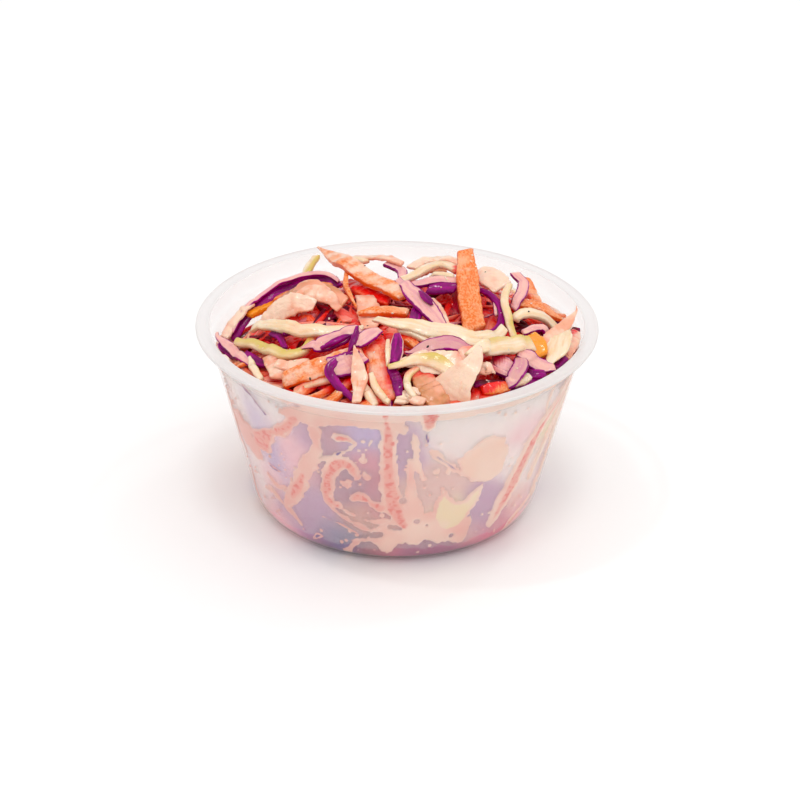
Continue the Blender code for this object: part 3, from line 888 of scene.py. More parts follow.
# %% [markdown]
# ## The slaw against the plastic
# Through the frosted wall one sees what touches it: a web of peach dressing, a few shreds pressed flat
# with a border of dressing, small drops, and between them hazy lilac and pink where the slaw stands back
# a millimetre or two. It is one closed surface here, on a grid of angle and height. A field says how wet
# each point is. Where it is wet the surface reaches just into the plastic, so no air shows between them,
# and elsewhere it falls back. The same surface closes over the middle, deep under the loose shreds.

# %% Noise on the surface
def clouds(points, size, seed, count=36):
    """Smooth noise in space: sqrt(2 / n) * the sum of n cosines of random heading, phase and length
    around `size`. Its spread is about 1."""
    rng = np.random.default_rng(seed)
    heading = rng.normal(size=(count, 3))
    heading /= np.linalg.norm(heading, axis=1, keepdims=True)
    pitch = 2.0 * np.pi / (size * rng.uniform(0.7, 1.6, count))
    total = np.zeros(points.shape[:-1])
    for way, rate, phase in zip(heading, pitch, rng.uniform(0.0, 6.3, count)):
        total += np.cos(points @ way * rate + phase)
    return total * np.sqrt(2.0 / count)


# %% The grid, from the middle of the floor up to the brim
AROUND = 620  # points around, about 0.35 mm apart
REACH_IN = 0.25  # how far the wet parts reach into the plastic
SIDE_ROWS = 120
BELOW_FLANGE = 0.25  # how close to the flange the dressing comes at the front
FAR_OUT = -9.0  # stands for anywhere outside, in millimetres
turn = np.arange(AROUND) * 2.0 * np.pi / AROUND
floor_corner = corner(WALL - REACH_IN, FLOOR - REACH_IN, 10)[::-1]
floor_rows = np.stack([np.linspace(0.0, floor_corner[0, 0], 9)[1:-1], np.full(7, FLOOR - REACH_IN)], 1)
rim_points = np.stack([np.cos(turn), np.sin(turn), 0.0 * turn], 1) * inner_r(EDGE)
brim = mound(rim_points[:, 0], rim_points[:, 1]) + 0.4 * clouds(rim_points, 9.0, 3)
smeared = ramp(-rim_points[:, 1], 2.0, 16.0)  # at the front, dressing reaches up to the flange
brim = brim + smeared * (CUP_TOP - FLANGE - BELOW_FLANGE - brim)
side_share = np.linspace(0.0, 1.0, SIDE_ROWS + 1)[1:, None]
side_z = floor_corner[-1, 1] + (brim - floor_corner[-1, 1]) * side_share
neck_share = np.clip((side_z - (NECK_FOOT - STEP)) / STEP, 0.0, 1.0)
side_r = wall_r(side_z) * (1.0 - neck_share) + (NECK_R - WALL) * neck_share + REACH_IN
low_rows = np.concatenate([floor_rows, floor_corner])
base_r = np.concatenate([np.repeat(low_rows[:, :1], AROUND, 1), side_r])
base_z = np.concatenate([np.repeat(low_rows[:, 1:], AROUND, 1), side_z])
base = np.stack([base_r * np.cos(turn), base_r * np.sin(turn), base_z], -1)
print("wall grid:", base.shape[:2])


# %% Shreds and bands of dressing pressed against the wall
SPOTS = 60


def on_wall(degrees, z):
    """A point on the inside of the wall; degrees run from the front (-Y) to the right (+X)."""
    a = np.radians(np.asarray(degrees, float))
    r = wall_r(z) + REACH_IN
    return np.stack([r * np.sin(a), -r * np.cos(a), np.asarray(z, float)], -1)


def unrolled(points):
    """The wall laid flat: millimetres around it, at the radius it has half way up, and height."""
    around = np.arctan2(points[..., 0], -points[..., 1]) * wall_r(18.0)
    return np.stack([around, points[..., 2]], -1)


def near_strip(places):
    """For every grid point, how far inside the edge of a strip it lies and how far along the strip, in
    millimetres. The strip is a row of round spots, and the spot that reaches furthest over counts."""
    line = spline(places, SPOTS)
    spots = on_wall(line[:, 0], line[:, 1])
    steps = np.linalg.norm(np.diff(spots, axis=0), axis=1)
    along = np.concatenate([[0.0], np.cumsum(steps)])
    close = np.all((base > spots.min(0) - 8.0) & (base < spots.max(0) + 8.0), -1)
    inside = np.full(base.shape[:2], FAR_OUT)
    place = np.zeros(base.shape[:2])
    reach = 0.5 * line[:, 2] - np.linalg.norm(base[close][:, None] - spots[None], axis=-1)
    inside[close] = reach.max(1)
    place[close] = along[reach.argmax(1)]
    return inside, place


def in_area(places):
    """For every grid point, how far inside a closed outline it lies, and its height. The distance is the
    least to any edge. A point is inside where a level line to the right crosses an odd number of edges."""
    start = unrolled(on_wall(*np.transpose(places)))
    step = np.roll(start, -1, axis=0) - start
    flat = unrolled(base)
    close = np.all((flat > start.min(0) - 4.0) & (flat < start.max(0) + 4.0), -1)
    spot = flat[close][:, None]
    share = np.clip(((spot - start) * step).sum(-1) / (step**2).sum(-1), 0.0, 1.0)
    away = np.linalg.norm(spot - start - share[..., None] * step, axis=-1).min(1)
    level = spot[..., 1]
    spans = (start[:, 1] > level) != (start[:, 1] + step[:, 1] > level)
    climb = np.where(step[:, 1] == 0.0, 1e-9, step[:, 1])
    crossing = start[:, 0] + (level - start[:, 1]) / climb * step[:, 0]
    odd = (spans & (spot[..., 0] < crossing)).sum(1) % 2 == 1
    inside = np.full(base.shape[:2], FAR_OUT)
    inside[close] = np.where(odd, away, -away)
    return inside, base[..., 2]


# %% What is pressed against the front of the wall
# What it is and how wide its border of dressing is. Then its places, each as degrees from the front and
# height: with a width too it is the middle line of a strip, and without one it is an area's outline.
PRESSED = [
    ("carrot", 0.8, [
        (-2.9, 35.5, 3.0), (-2.6, 33, 2.6), (-2.4, 30.4, 3.1), (-2.3, 26, 3.2), (-2.1, 21.4, 3.4),
        (-1.6, 17.4, 4.0), (-0.6, 14.2, 4.1), (1, 11.5, 4.0), (3, 9.5, 3.4),
    ]),
    ("film", 0, [
        (-38, 31), (-33, 34), (-24, 35.6), (-12, 36.5), (-2, 36.5), (3, 34), (0, 31.2), (-5, 31.4),
        (-10, 31.6), (-16, 31.8), (-21, 31.4), (-24, 30.4), (-30, 30.6), (-34, 29.6),
    ]),
    ("carrot", 0.5, [
        (-57, 22.2), (-52.5, 24.2), (-47, 26), (-43, 26.8), (-38, 29), (-34, 31.8), (-30, 32.6),
        (-29.5, 30.6), (-33, 28), (-38, 25.6), (-43, 24.6), (-44.5, 22.4), (-47, 19.8), (-52, 18.8),
        (-56.5, 19.6),
    ]),
    ("film", 0, [
        (-25.5, 29.4, 2.6), (-25.5, 26.8, 1.9), (-26.5, 24.4, 2.5), (-30, 21, 3.2), (-33.5, 17.6, 3.7),
        (-37, 14.2, 3.9), (-41, 11, 3.0), (-45, 9, 1.8),
    ]),
    ("carrot", 0.8, [(-33, 18, 3.0), (-36.5, 14.6, 3.8), (-40, 11.6, 2.8)]),
    ("film", 0, [(-28, 22, 1.8), (-24, 23.2, 0.8), (-19, 24.4, 0.7), (-15.5, 26, 0.9), (-13, 27.6, 0.6)]),
    ("carrot", 0.4, [(-17.8, 28.7, 1.6), (-15, 28.9, 1.9), (-12.8, 28.2, 1.3)]),
    ("carrot", 0.6, [
        (-12.6, 20.2, 1.0), (-14.4, 22.4, 2.5), (-17.3, 23.2, 3.1), (-20.4, 21.8, 3.0), (-22.9, 19.2, 2.5),
        (-24.2, 16.2, 2.4), (-23.8, 13.9, 2.4), (-20.4, 12.5, 1.5),
    ]),
    ("film", 0, [(-19, 18.4), (-16, 19.4), (-13.8, 19.3), (-14.8, 17.7), (-16.4, 16.3)]),
    ("carrot", 0.5, [(-14.2, 15.2, 1.5), (-11.8, 15.6, 2.2), (-8.5, 14.5, 1.7), (-5, 13.4, 2.6)]),
    ("carrot", 0.5, [(6.6, 36.5), (6.7, 33.4), (8, 31.6), (9.6, 31), (12, 32.2), (12.6, 34), (12.4, 36.5)]),
    ("film", 0, [(4.6, 24.4, 0.9), (5, 21, 1.8), (5.1, 17.6, 2.1), (5.8, 15, 2.8), (8.6, 12.4, 3.2)]),
    ("pale", 0.3, [(5.4, 30.8, 0.8), (6, 28.4, 1.5), (6.5, 25.6, 1.2), (7.2, 23.2, 1.6), (9.2, 20.2, 0.9)]),
    ("film", 0, [(11.6, 26.4, 0.9), (14.5, 24.6, 1.7), (18, 22.6, 1.4), (22.5, 20.4, 1.9)]),
    ("purple", 0, [(13, 25.3, 0.2), (17, 23.2, 0.35), (21.5, 20.8, 0.15)]),
    ("pale", 0.5, [
        (20.6, 23.4), (23.5, 25.4), (27, 27), (32.6, 27.6), (37.4, 26.4), (40.2, 22.6), (39.2, 18.2),
        (34, 17), (29.3, 17.5), (24.5, 18.9), (21, 20.4),
    ]),
    ("pale", 0.6, [
        (13.6, 10.5), (14, 13), (15.8, 16.6), (17.8, 17.2), (19, 15.2), (22, 13.8), (25.3, 13.7),
        (28.5, 15.9), (32.4, 16.9), (31.4, 13.5), (28.4, 10.5), (26.8, 8.8), (24.4, 7.5), (19.5, 6.8),
        (15.5, 8.3),
    ]),
    ("film", 0, [
        (-21.5, 1.2), (-17.5, 3.9), (-14, 5.6), (-10, 6), (-9.6, 7.6), (-6.5, 8.8), (-3.5, 10.8),
        (-1, 12.4), (2.2, 13.8), (8, 12.6), (13, 12.4), (14.5, 10.4), (21.6, 9.8), (26.8, 9.4), (29.6, 8.4),
        (29.8, 5.5), (27.5, 3.1), (22, 3.9), (18, 4.7), (14, 5.2), (11.6, 5.5), (7.4, 4.1), (4.4, 4.6),
        (1.8, 4.4), (0, 3.1), (-2.6, 2.4), (-5, 2.8), (-6.4, 4.5), (-8.5, 4.9), (-12, 4.6), (-15, 3.6),
        (-18.6, 0.8),
    ]),
    ("film", 0, [
        (-23.4, 12.2, 0.8), (-20.5, 10.6, 1.2), (-16.5, 9.4, 0.9), (-13, 8.6, 1.4), (-9, 7.6, 0.9),
    ]),
    ("film", 0, [(-23, 12.4, 0.5), (-18, 11.8, 0.4), (-12, 10.4, 0.7), (-6, 9.9, 1.3), (-2, 10.5, 2.0)]),
    ("film", 0, [(17.5, 13.6, 0.3), (19.6, 10.6, 0.6), (22.2, 12.2, 0.4), (25, 9.4, 0.7)]),
    ("carrot", 1.1, [
        (75, 35, 2.6), (70, 31, 2.9), (63.5, 28, 3.2), (58, 26, 3.4), (54, 23.4, 3.8), (50.8, 20, 4.4),
        (48, 15.8, 4.5), (45, 12, 4.2), (42, 8.2, 3.4), (39.6, 6, 2.0),
    ]),
    ("film", 0, [(57, 33.5, 0.5), (55.4, 30, 0.8), (56.4, 27.4, 0.5)]),
    ("carrot", 0.3, [(47, 0.6, 0.7), (50, 2.2, 1.4), (53.4, 3.6, 1.5), (59, 4.8, 1.2), (66, 6, 0.9)]),
    ("pale", 0.5, [(58, 12.5, 1.2), (63, 19, 2.4), (70, 26, 2.9), (77, 31, 2.0)]),
    ("film", 0, [(-58, 9.4, 1.0), (-53, 9.9, 1.7), (-48, 8.6, 1.2), (-44, 7.4, 1.6), (-39, 5, 0.8)]),
    ("film", 0, [(-53, 13.8, 0.8), (-48.5, 12, 1.4), (-44, 12.8, 0.9)]),
    ("purple", 0.3, [(-27.8, 9, 0.2), (-21, 8.3, 0.5), (-13.7, 6.6, 0.3)]),
    ("purple", 0.3, [(-34, 2.7, 0.6), (-31, 4, 1.2), (-29.4, 4.2, 0.6)]),
    ("purple", 0, [(-56, 34, 0.15), (-50, 31.3, 0.35), (-44.8, 29, 0.5)]),
    ("purple", 0.1, [(-52, 17.2, 0.2), (-48, 16.4, 0.6), (-43.8, 16.2, 0.3)]),
    ("purple", 0, [(9.2, 30.4, 0.3), (9.8, 28.8, 0.4)]),
    ("purple", 0.2, [(0.3, 5.7, 0.3), (1.8, 5.9, 0.5)]),
    ("purple", 0.4, [(-8.4, 27.6, 0.3), (-7.3, 29, 0.5)]),
    ("purple", 0, [(-18.6, 25, 0.5), (-17.4, 25.6, 0.3)]),
]
# Drops of dressing, and holes in it: degrees from the front, height and radius.
DROPS = (
    (-10.3, 24.3, 0.8), (-10.1, 25.2, 0.4), (-9.3, 20.4, 0.75), (-9.9, 20.8, 0.65), (2.4, 31, 0.5),
    (2, 32, 0.6), (-11.5, 26.5, 0.35), (-9.2, 26.8, 0.3), (13.4, 21.6, 0.7), (13.8, 20.4, 0.3),
    (-4.6, 11.6, 0.5), (-21, 3.9, 0.4), (9.4, 28, 0.35), (0.4, 25.6, 0.3), (3.4, 22.6, 0.4), (14, 28, 0.25),
)
HOLES = (
    (-8.8, 6.5, 0.6), (-7.3, 6.7, 0.8), (-5.7, 6.9, 0.7), (8, 10.1, 0.6), (2.7, 15.2, 0.7), (22, 5.6, 0.5),
    (-1.6, 8.9, 0.6), (0.2, 8.7, 0.7), (1.8, 8.5, 0.5), (11.8, 9, 0.3),
)


# %% Mark what is pressed on the grid
RANDOM_STRIPS = 110
RANDOM_DROPS = 420


def random_strip(rng):
    """A bent strip of uneven width somewhere on the back half of the wall, where none is set."""
    kind = rng.choice(["carrot", "purple", "pale", "film"], p=(0.34, 0.1, 0.2, 0.36))
    widest = {"carrot": (1.8, 4.0), "purple": (0.2, 0.9), "pale": (1.0, 4.5), "film": (0.6, 3.2)}[kind]
    turns = rng.uniform(0.0, np.pi) + rng.normal(0.0, 0.4) * np.arange(4)
    length = rng.uniform(5.0, 20.0)
    degrees = rng.uniform(84.0, 276.0) + np.cumsum(np.cos(turns)) * length / 4.0 * 1.9
    z = np.clip(rng.uniform(3.0, 34.0) + np.cumsum(np.sin(turns)) * length / 4.0, 1.5, 35.0)
    widths = rng.uniform(*widest) * rng.uniform(0.4, 1.2, 4)
    return kind, rng.uniform(0.2, 0.8), np.stack([degrees, z, widths], 1)


wall_rng = np.random.default_rng(5)
pressed = PRESSED + [random_strip(wall_rng) for _ in range(RANDOM_STRIPS)]
fuzz = clouds(base, 1.1, 11)
lumpy = clouds(base, 3.4, 13)
film = np.full(base.shape[:2], FAR_OUT)  # how far inside a band of dressing a point is
bits = {kind: np.zeros(base.shape[:2]) for kind in ("carrot", "purple", "pale", "red")}
for kind, border, places in pressed:
    inside, along = near_strip(places) if len(places[0]) == 3 else in_area(places)
    uneven = (0.1 * fuzz + 0.2 * lumpy) * np.clip(inside.max(), 0.3, 1.0)
    film = np.maximum(film, inside + uneven)
    if kind != "film":
        cover = ramp(inside - border + 0.5 * uneven, -0.15, 0.2)
        bits[kind] = np.maximum(bits[kind], cover)
    if kind == "carrot":
        marks = wander(along + 0.4 * lumpy, (0.6, 1.0, 2.3), wall_rng) + 0.45 * fuzz
        marks = ramp(marks, -0.5, 0.6) * ramp(inside - border + 0.25 * lumpy + 0.3 * marks, 0.1, 0.55)
        bits["red"] = np.maximum(bits["red"], marks)
print("pressed strips and areas:", len(pressed))

# %% The film of dressing
from_front = np.abs(np.degrees(np.arctan2(base[..., 0], -base[..., 1])))
loose = ramp(from_front, 60.0, 85.0)  # 0 at the front, where every patch is set, and 1 behind
web = clouds(base, 11.0, 12) + 0.3 * lumpy
# Behind, a web of dressing follows the lines where a noise is near zero, and pools lie where one is high.
film = np.maximum(film, (0.2 - np.abs(web)) / 0.57 - 1.2 * (1.0 - loose))
film = np.maximum(film, (0.35 * lumpy + clouds(base, 15.0, 14) - 1.2) * 2.0 - 2.0 * (1.0 - loose))
small_drops = [
    (wall_rng.uniform(-180.0, 180.0), wall_rng.uniform(2.0, 33.0), wall_rng.uniform(0.08, 0.42))
    for _ in range(RANDOM_DROPS)
]
for degrees, z, size in (*DROPS, *small_drops):
    film = np.maximum(film, size - np.linalg.norm(base - on_wall(degrees, z), axis=-1))
for degrees, z, size in HOLES:
    film = np.minimum(film, np.linalg.norm(base - on_wall(degrees, z), axis=-1) - size)
# A band of dressing lies under the brim, 0.9 mm wide behind and up to 2.3 mm at the front.
band = 0.9 - 0.9 * smeared + 2.3 * ramp(0.35 * rim_points[:, 0] - rim_points[:, 1], 5.0, 30.0)
film = np.maximum(film, band + 0.3 * lumpy - (side_z[-1] - base[..., 2]))
# Small windows open in the film here and there behind, and fewer at the front.
film = np.minimum(film, (1.75 - clouds(base, 2.6, 16)) + 2.0 * (1.0 - loose) + 3.0 * bits["pale"])
wet = np.maximum.reduce([ramp(film, -0.2, 0.2), *bits.values()])
# The outline is 1 along a thin line just inside the film's edge, and 0.8 along a painted highlight line
# near the floor.
outline = np.exp(-(((film - 0.25) / 0.17) ** 2)) + 0.8 * np.exp(-(((base[..., 2] - 0.75) / 0.2) ** 2))
print("share of the wall that is wet: %.2f" % wet[20:].mean())

# %% What shows between the bands
# Tones, and then the tone, radius and places of soft patches of cabbage, carrot and shade further in.
RANDOM_PATCHES = 130
STAND_BACK = 0.6  # how far the dry parts stand back from the wet ones
TONES = {
    "slate": "583084", "lilac": "BC74A8", "blue": "BC98D0", "mauve": "BC5C80", "violet": "A03470",
    "pink": "DC5C7C", "red": "CC2C60", "rose": "FCB4BE", "mist": "FDE8E3", "wine": "90284C",
    "brown": "D88468", "grey": "E8B0A4", "peach": "F4A890", "lime": "F8E0A8",
}
PATCHES = [
    ("blue", 3.6, [(-46, 19.6), (-10.8, 28.6), (-52, 27)]), ("pink", 2.2, [(-9.4, 24.6), (-9.6, 23)]),
    ("mauve", 3.4, [(-20.5, 28.4), (-21, 18)]), ("violet", 2.6, [(-17.5, 15.4), (-12, 17.4), (-16, 20.6)]),
    ("red", 1.9, [(-9.4, 17), (-7, 19), (-7, 12.4)]), ("slate", 3.4, [(-20, 4.8), (-27, 5), (-24.5, 1.6)]),
    ("lilac", 3.6, [(-43, 6.5), (-34, 8.6), (-35, 4.6), (-29, 10.4)]),
    ("brown", 3.0, [(-15, 10.6), (-9.4, 9.8)]), ("wine", 2.4, [(-12, 2.8), (-6.6, 4), (-9, 0.6), (-30, 1)]),
    ("lilac", 3.0, [(3.3, 28.6), (2.6, 24.6), (-30, 27)]),
    ("grey", 3.4, [(11.4, 16), (12, 18.6), (18, 18)]),
    ("mist", 5.0, [(17.3, 30.6), (28, 31.6), (38, 31), (48, 31)]),
    ("lilac", 3.4, [(36.3, 9.9), (33, 12.6), (35, 6)]), ("rose", 3.6, [(62, 6.4), (46, 26)]),
    ("mist", 4.0, [(45, 20), (60, 13)]), ("peach", 2.4, [(31, 4.3), (56, 9)]),
    ("violet", 3.0, [(22.6, 1.6), (14, 2.4), (29, 1), (5, 1.4)]),
    ("pink", 3.0, [(38, 2.6), (44, 4), (-3, 0.8)]),
    ("mist", 5.0, [(-62, 27), (-46, 30.4), (-63, 15), (66, 15)]),
    ("rose", 3.4, [(-54, 13), (-36, 24), (-38, 19.6), (-50, 2)]), ("lime", 2.6, [(20, 12), (62, 22)]),
]
patches = [(tone, radius, place) for tone, radius, places in PATCHES for place in places]
for _ in range(RANDOM_PATCHES):
    tone = wall_rng.choice(list(TONES))
    place = (wall_rng.uniform(70.0, 290.0), wall_rng.uniform(-2.0, 34.0))
    patches.append((tone, wall_rng.uniform(2.2, 4.6), place))
behind = np.full((*base.shape[:2], 3), 1e-6)
share = np.full((*base.shape[:2], 1), 1e-6)
for tone, radius, (degrees, z) in patches:
    away = np.linalg.norm(base - on_wall(degrees, z), axis=-1, keepdims=True) + 0.5 * lumpy[..., None]
    weight = np.exp(-((away / radius) ** 2)) + 1e-4
    behind += weight * np.array(linear(TONES[tone])[:3])
    share += weight
behind /= share
# Painted haze: the slaw behind is painted paler at both sides, where the wall is seen edge-on through more
# plastic.
painted_edge_haze = 0.6 * ramp(from_front, 56.0, 72.0) * ramp(from_front, 96.0, 80.0)  # paler at both sides
behind += painted_edge_haze[..., None] * (np.array(linear(TONES["mist"])[:3]) - behind)
depth = STAND_BACK * ramp(base[..., 2], 1.0, 6.0) * (1.0 - wet)
depth = depth * (1.0 + 0.25 * np.clip(clouds(base, 5.0, 18), -1.0, 1.0))
print("the dry parts stand back up to %.2f mm" % depth.max())


# %% The whole core
TOP_RINGS = 14
FILMED_RINGS = 7  # past the brim, the lip and the rings next to it are filmed with dressing too
LIP = np.array([(-0.35, 0.12), (-0.8, 0.0), (-1.0, -0.6)])  # each ring of the lip: out and up from the brim


def store(obj, name, values):
    """Keeps an array on a mesh's points, as numbers or as vectors."""
    values = np.asarray(values, np.float32)
    kind = "FLOAT" if values.ndim == 1 else "FLOAT_VECTOR"
    layer = obj.data.attributes.new(name, kind, "POINT")
    layer.data.foreach_set("value" if values.ndim == 1 else "vector", values.ravel())


def slaw_core():
    """The wall's surface moved in by its depth, then a lip, and a top that lies under the loose shreds.
    Three vectors are kept on its points: the film (wet, outline with its painted highlight near the floor,
    red marks), the pressed bits (carrot, purple, pale) and the colour behind. `inside` is 1 where only the
    deep top shows, which is painted dark red as shade."""
    low_count = len(low_rows)
    lean_in = np.ones(base.shape[:2])
    lean_in[: len(floor_rows)] = 0.0
    lean_in[len(floor_rows) : low_count] = np.sin(np.linspace(0.0, 0.5 * np.pi, len(floor_corner)))[:, None]
    radius = base_r - depth * lean_in
    height = base_z + depth * np.sqrt(1.0 - lean_in**2)
    lip_r = radius[-1] + LIP[:, :1]
    lip_z = height[-1] + LIP[:, 1:]
    share = (1.0 - np.linspace(0.0, 1.0, TOP_RINGS)[1:-1] ** 1.2)[:, None]
    top_r = (lip_r[-1] - 0.2) * share
    top_x, top_y = top_r * np.cos(turn), top_r * np.sin(turn)
    sunk = mound(top_x, top_y) - COVER + 0.7 * clouds(np.stack([top_x, top_y, 0 * top_x], -1), 3.0, 19)
    blend = ramp(share, 1.0, 0.93)
    top_z = (lip_z[-1] - 0.6) * (1.0 - blend) + sunk * blend
    radius = np.concatenate([radius, lip_r, top_r])
    height = np.concatenate([height, lip_z, top_z])
    points = np.stack([radius * np.cos(turn), radius * np.sin(turn), height], -1).reshape(-1, 3)
    points = np.concatenate([points, [[0, 0, FLOOR - REACH_IN], [0, 0, height[-1].mean()]]])
    core = make_mesh("slaw_core", points, *ring_faces(len(radius), AROUND))
    filmed = FILMED_RINGS * AROUND
    bare = (len(radius) - len(wet)) * AROUND - filmed
    store(core, "inside", np.concatenate([np.zeros(wet.size + filmed), np.ones(bare), [0.0, 1.0]]))
    filmed_top = np.concatenate([np.ones(filmed), np.zeros(bare + 2)])
    for name, layers in (
        ("film", (wet, outline, bits["red"])),
        ("bits", (bits["carrot"], bits["purple"], bits["pale"])),
        ("behind", np.moveaxis(behind, -1, 0)),
    ):
        tops = (filmed_top * (name == "film"), 0.0 * filmed_top, 0.0 * filmed_top)
        whole = [np.concatenate([layer.ravel(), rest]) for layer, rest in zip(layers, tops)]
        store(core, name, np.stack(whole, 1))
    return core


core = slaw_core()
print("core:", len(core.data.polygons), "faces")

# %% Join the shreds, one piece for each kind
# The pile's height, blurred, tells how much lies over a point. Without the blur its cells would show.
BLURS = 4
covering = pile.copy()
for _ in range(BLURS):
    for axis in (0, 1):
        covering = (np.roll(covering, 1, axis) + 2.0 * covering + np.roll(covering, -1, axis)) / 4.0


def join_shreds(kind):
    """All shreds of a kind in one mesh. Each has rows of a ring of points, and a point at either end. How
    deep a point lies under the finished heap is kept with it, because little light gets down there."""
    parts = shreds[kind]
    quads, triangles, start = [], [], 0
    for part in parts:
        part_quads, part_triangles = ring_faces(*part["shape"])
        quads.append(start + part_quads[:, [0, 3, 2, 1]])
        triangles.append(start + part_triangles[:, [0, 2, 1]])
        start += len(part["points"])
    kept = ("points", "grain", "section", "skin", "look")
    whole = {key: np.concatenate([part[key] for part in parts]) for key in kept}
    points = whole["points"]
    look = whole["look"].copy()
    cover = covering[cell_of(points[:, 1]), cell_of(points[:, 0])]
    cover = np.maximum(cover, mound(points[:, 0], points[:, 1]) + 1.2)
    middle = np.concatenate([part["middle"] for part in parts])
    # Shade is 0 where 1 mm or less lies over the shred's middle line, and 1 from 3 mm down.
    look[:, 2] = np.clip((cover - middle - 1.0) / 2.0 + look[:, 2], 0.0, 1.0)
    piece = make_mesh(kind, points, np.concatenate(quads), np.concatenate(triangles))
    for key in ("grain", "section", "skin"):
        store(piece, key, whole[key])
    store(piece, "look", look)
    print("%s: %d shreds, %d faces" % (kind, len(parts), len(piece.data.polygons)))
    return piece


pieces = {kind: join_shreds(kind) for kind in list(shreds)}

# %% [markdown]
# ## Pepper and drops of dressing
# Grains of cracked pepper and beads of dressing lie on the shreds. They are a tenth to half a millimetre
# wide, so each is the same loft as a shred, only very short. A ray cast straight down finds the shred that
# each one lies on, so that none floats.

# %% Pepper and drops of dressing on top
HEAP_R = 31.5  # they lie out to this radius
bpy.context.view_layer.update()


def surface_under(x, y):
    """The highest point of any shred under a place, and the way its face looks there."""
    above = Vector((x * MM, y * MM, 2.0 * CUP_TOP * MM))
    hits = [piece.ray_cast(above, (0.0, 0.0, -1.0)) for piece in pieces.values()]
    hits = [(spot, normal) for found, spot, normal, _ in hits if found]
    missed = (Vector((x, y, EDGE)) * MM, Vector((0.0, 0.0, 1.0)))
    spot, normal = max(hits, key=lambda hit: hit[0].z, default=missed)
    return np.array(spot) / MM, np.array(normal)


def scatter(kind, places, size, flat, rng):
    """Grains or beads of random size on the shreds: very short lofts, lower than they are wide."""
    shreds[kind] = []
    for x, y in places:
        spot, normal = surface_under(x, y)
        wide = rng.uniform(*size)
        heading = np.cross(normal, rng.normal(size=3))
        heading *= rng.uniform(0.5, 0.8) * wide / np.linalg.norm(heading)
        route = spot + normal * 0.1 * wide + np.linspace(-1.0, 1.0, 6)[:, None] * heading
        loft_shred(
            kind, route, wide, flat * wide, normal, rng, sides=7, ends=(0.5, 0.5), boxy=0.9, ragged=0.1,
        )


def on_top(count, rng):
    """Random places over the heap, out to near the wall."""
    away = HEAP_R * np.sqrt(rng.uniform(0.0, 1.0, count))
    around = rng.uniform(0.0, 2.0 * np.pi, count)
    return np.stack([away * np.cos(around), away * np.sin(around)], 1)


top_rng = np.random.default_rng(4)
PEPPER = np.array([(-15.3, -0.5), (-2.6, -17.1), (-5.3, -12.3), (16.5, 8.0), (1.5, -20.5), (24.0, -12.0)])
specks = np.concatenate([PEPPER, on_top(12, top_rng)])
scatter("pepper_specks", specks, size=(0.22, 0.42), flat=0.8, rng=top_rng)
scatter("dressing_beads", on_top(160, top_rng), size=(0.12, 0.4), flat=0.3, rng=top_rng)
for kind in ("pepper_specks", "dressing_beads"):
    pieces[kind] = join_shreds(kind)

# %% [markdown]
# ## Finishes of the slaw
# Everything in a dressed slaw is wet, so all the shreds share a glossy coat, and a dressing that lies on
# them in uneven patches. They differ in what is underneath. The patterns follow each shred, because they
# are read from its own lengthwise, crosswise and thickness distances in millimetres. So a noise of scale
# 0.4 has patches about 2.5 mm wide, and one of scale 2.8 has grain about a third of a millimetre wide. The
# lower a point lies in the heap, the redder it is: light only gets there through carrot and cabbage.

# %% What the shred finishes share
DRESSING = linear("FACFB6")


def laid_over(tree, color, second, pattern, start, end, blend_type="MIX"):
    """A second colour laid over the first where a pattern is high, in a smooth step from start to end."""
    share = add(tree, "MapRange", {"Value": pattern, 1: start, 2: end}, interpolation_type="SMOOTHSTEP")
    return add(tree, "Mix", {0: share, 6: color, 7: second}, out=2, data_type="RGBA", blend_type=blend_type)


def dress(tree, color, low, high, deep, relief, roughness, glow, gloss):
    """Lays dressing over a shred's own colour, paints shade on what lies deep by making it redder and
    darker, and makes it wet. The dressing is whole where noise 2.4 mm wide, with the shred's own share of
    dressing, is over `high`. It runs off the thin edges, so they show more of their own colour."""
    grain = add(tree, "Attribute", out="Vector", attribute_name="grain")
    look = add(tree, "Attribute", out="Vector", attribute_name="look")
    _, coat, sunk = add(tree, "SeparateXYZ", {"Vector": look}).node.outputs
    pools = add(tree, "TexNoise", {"Vector": grain, "Scale": 0.42, "Detail": 3.0})
    pools = add(tree, "Math", {0: coat, 1: 0.34, 2: pools}, operation="MULTIPLY_ADD")
    section = add(tree, "Attribute", out="Vector", attribute_name="section")
    through = add(tree, "SeparateXYZ", {"Vector": section}, out=1)
    through = add(tree, "Math", {0: through}, operation="ABSOLUTE")
    bare = add(tree, "MapRange", {"Value": through, 1: 0.75, 2: 0.35, 4: -0.25})
    pools = add(tree, "Math", {0: pools, 1: bare}, operation="ADD")
    color = laid_over(tree, color, DRESSING, pools, low, high)
    # Painted shade: the lower a point lies in the heap, the more its colour is multiplied by the dark red
    # `deep`.
    color = laid_over(tree, color, linear(deep), sunk, 0.0, 1.0, "MULTIPLY")
    film = add(tree, "TexNoise", {"Vector": grain, "Scale": 1.5, "Detail": 3.0})
    lumps = add(tree, "Math", {0: film, 1: 0.8, 2: relief}, operation="MULTIPLY_ADD")
    bump = add(tree, "Bump", {"Height": lumps, "Strength": 0.6, "Distance": 0.0003})
    inputs = {
        "Base Color": color,
        "Roughness": roughness,
        "Subsurface Weight": glow,
        "Subsurface Radius": (1.0, 0.4, 0.22),
        "Subsurface Scale": 0.0011,
        "Specular IOR Level": gloss,
        "Coat Weight": 4.0 * gloss,
        "Coat Roughness": 0.1,
        "Normal": bump,
    }
    return add(tree, "BsdfPrincipled", inputs)


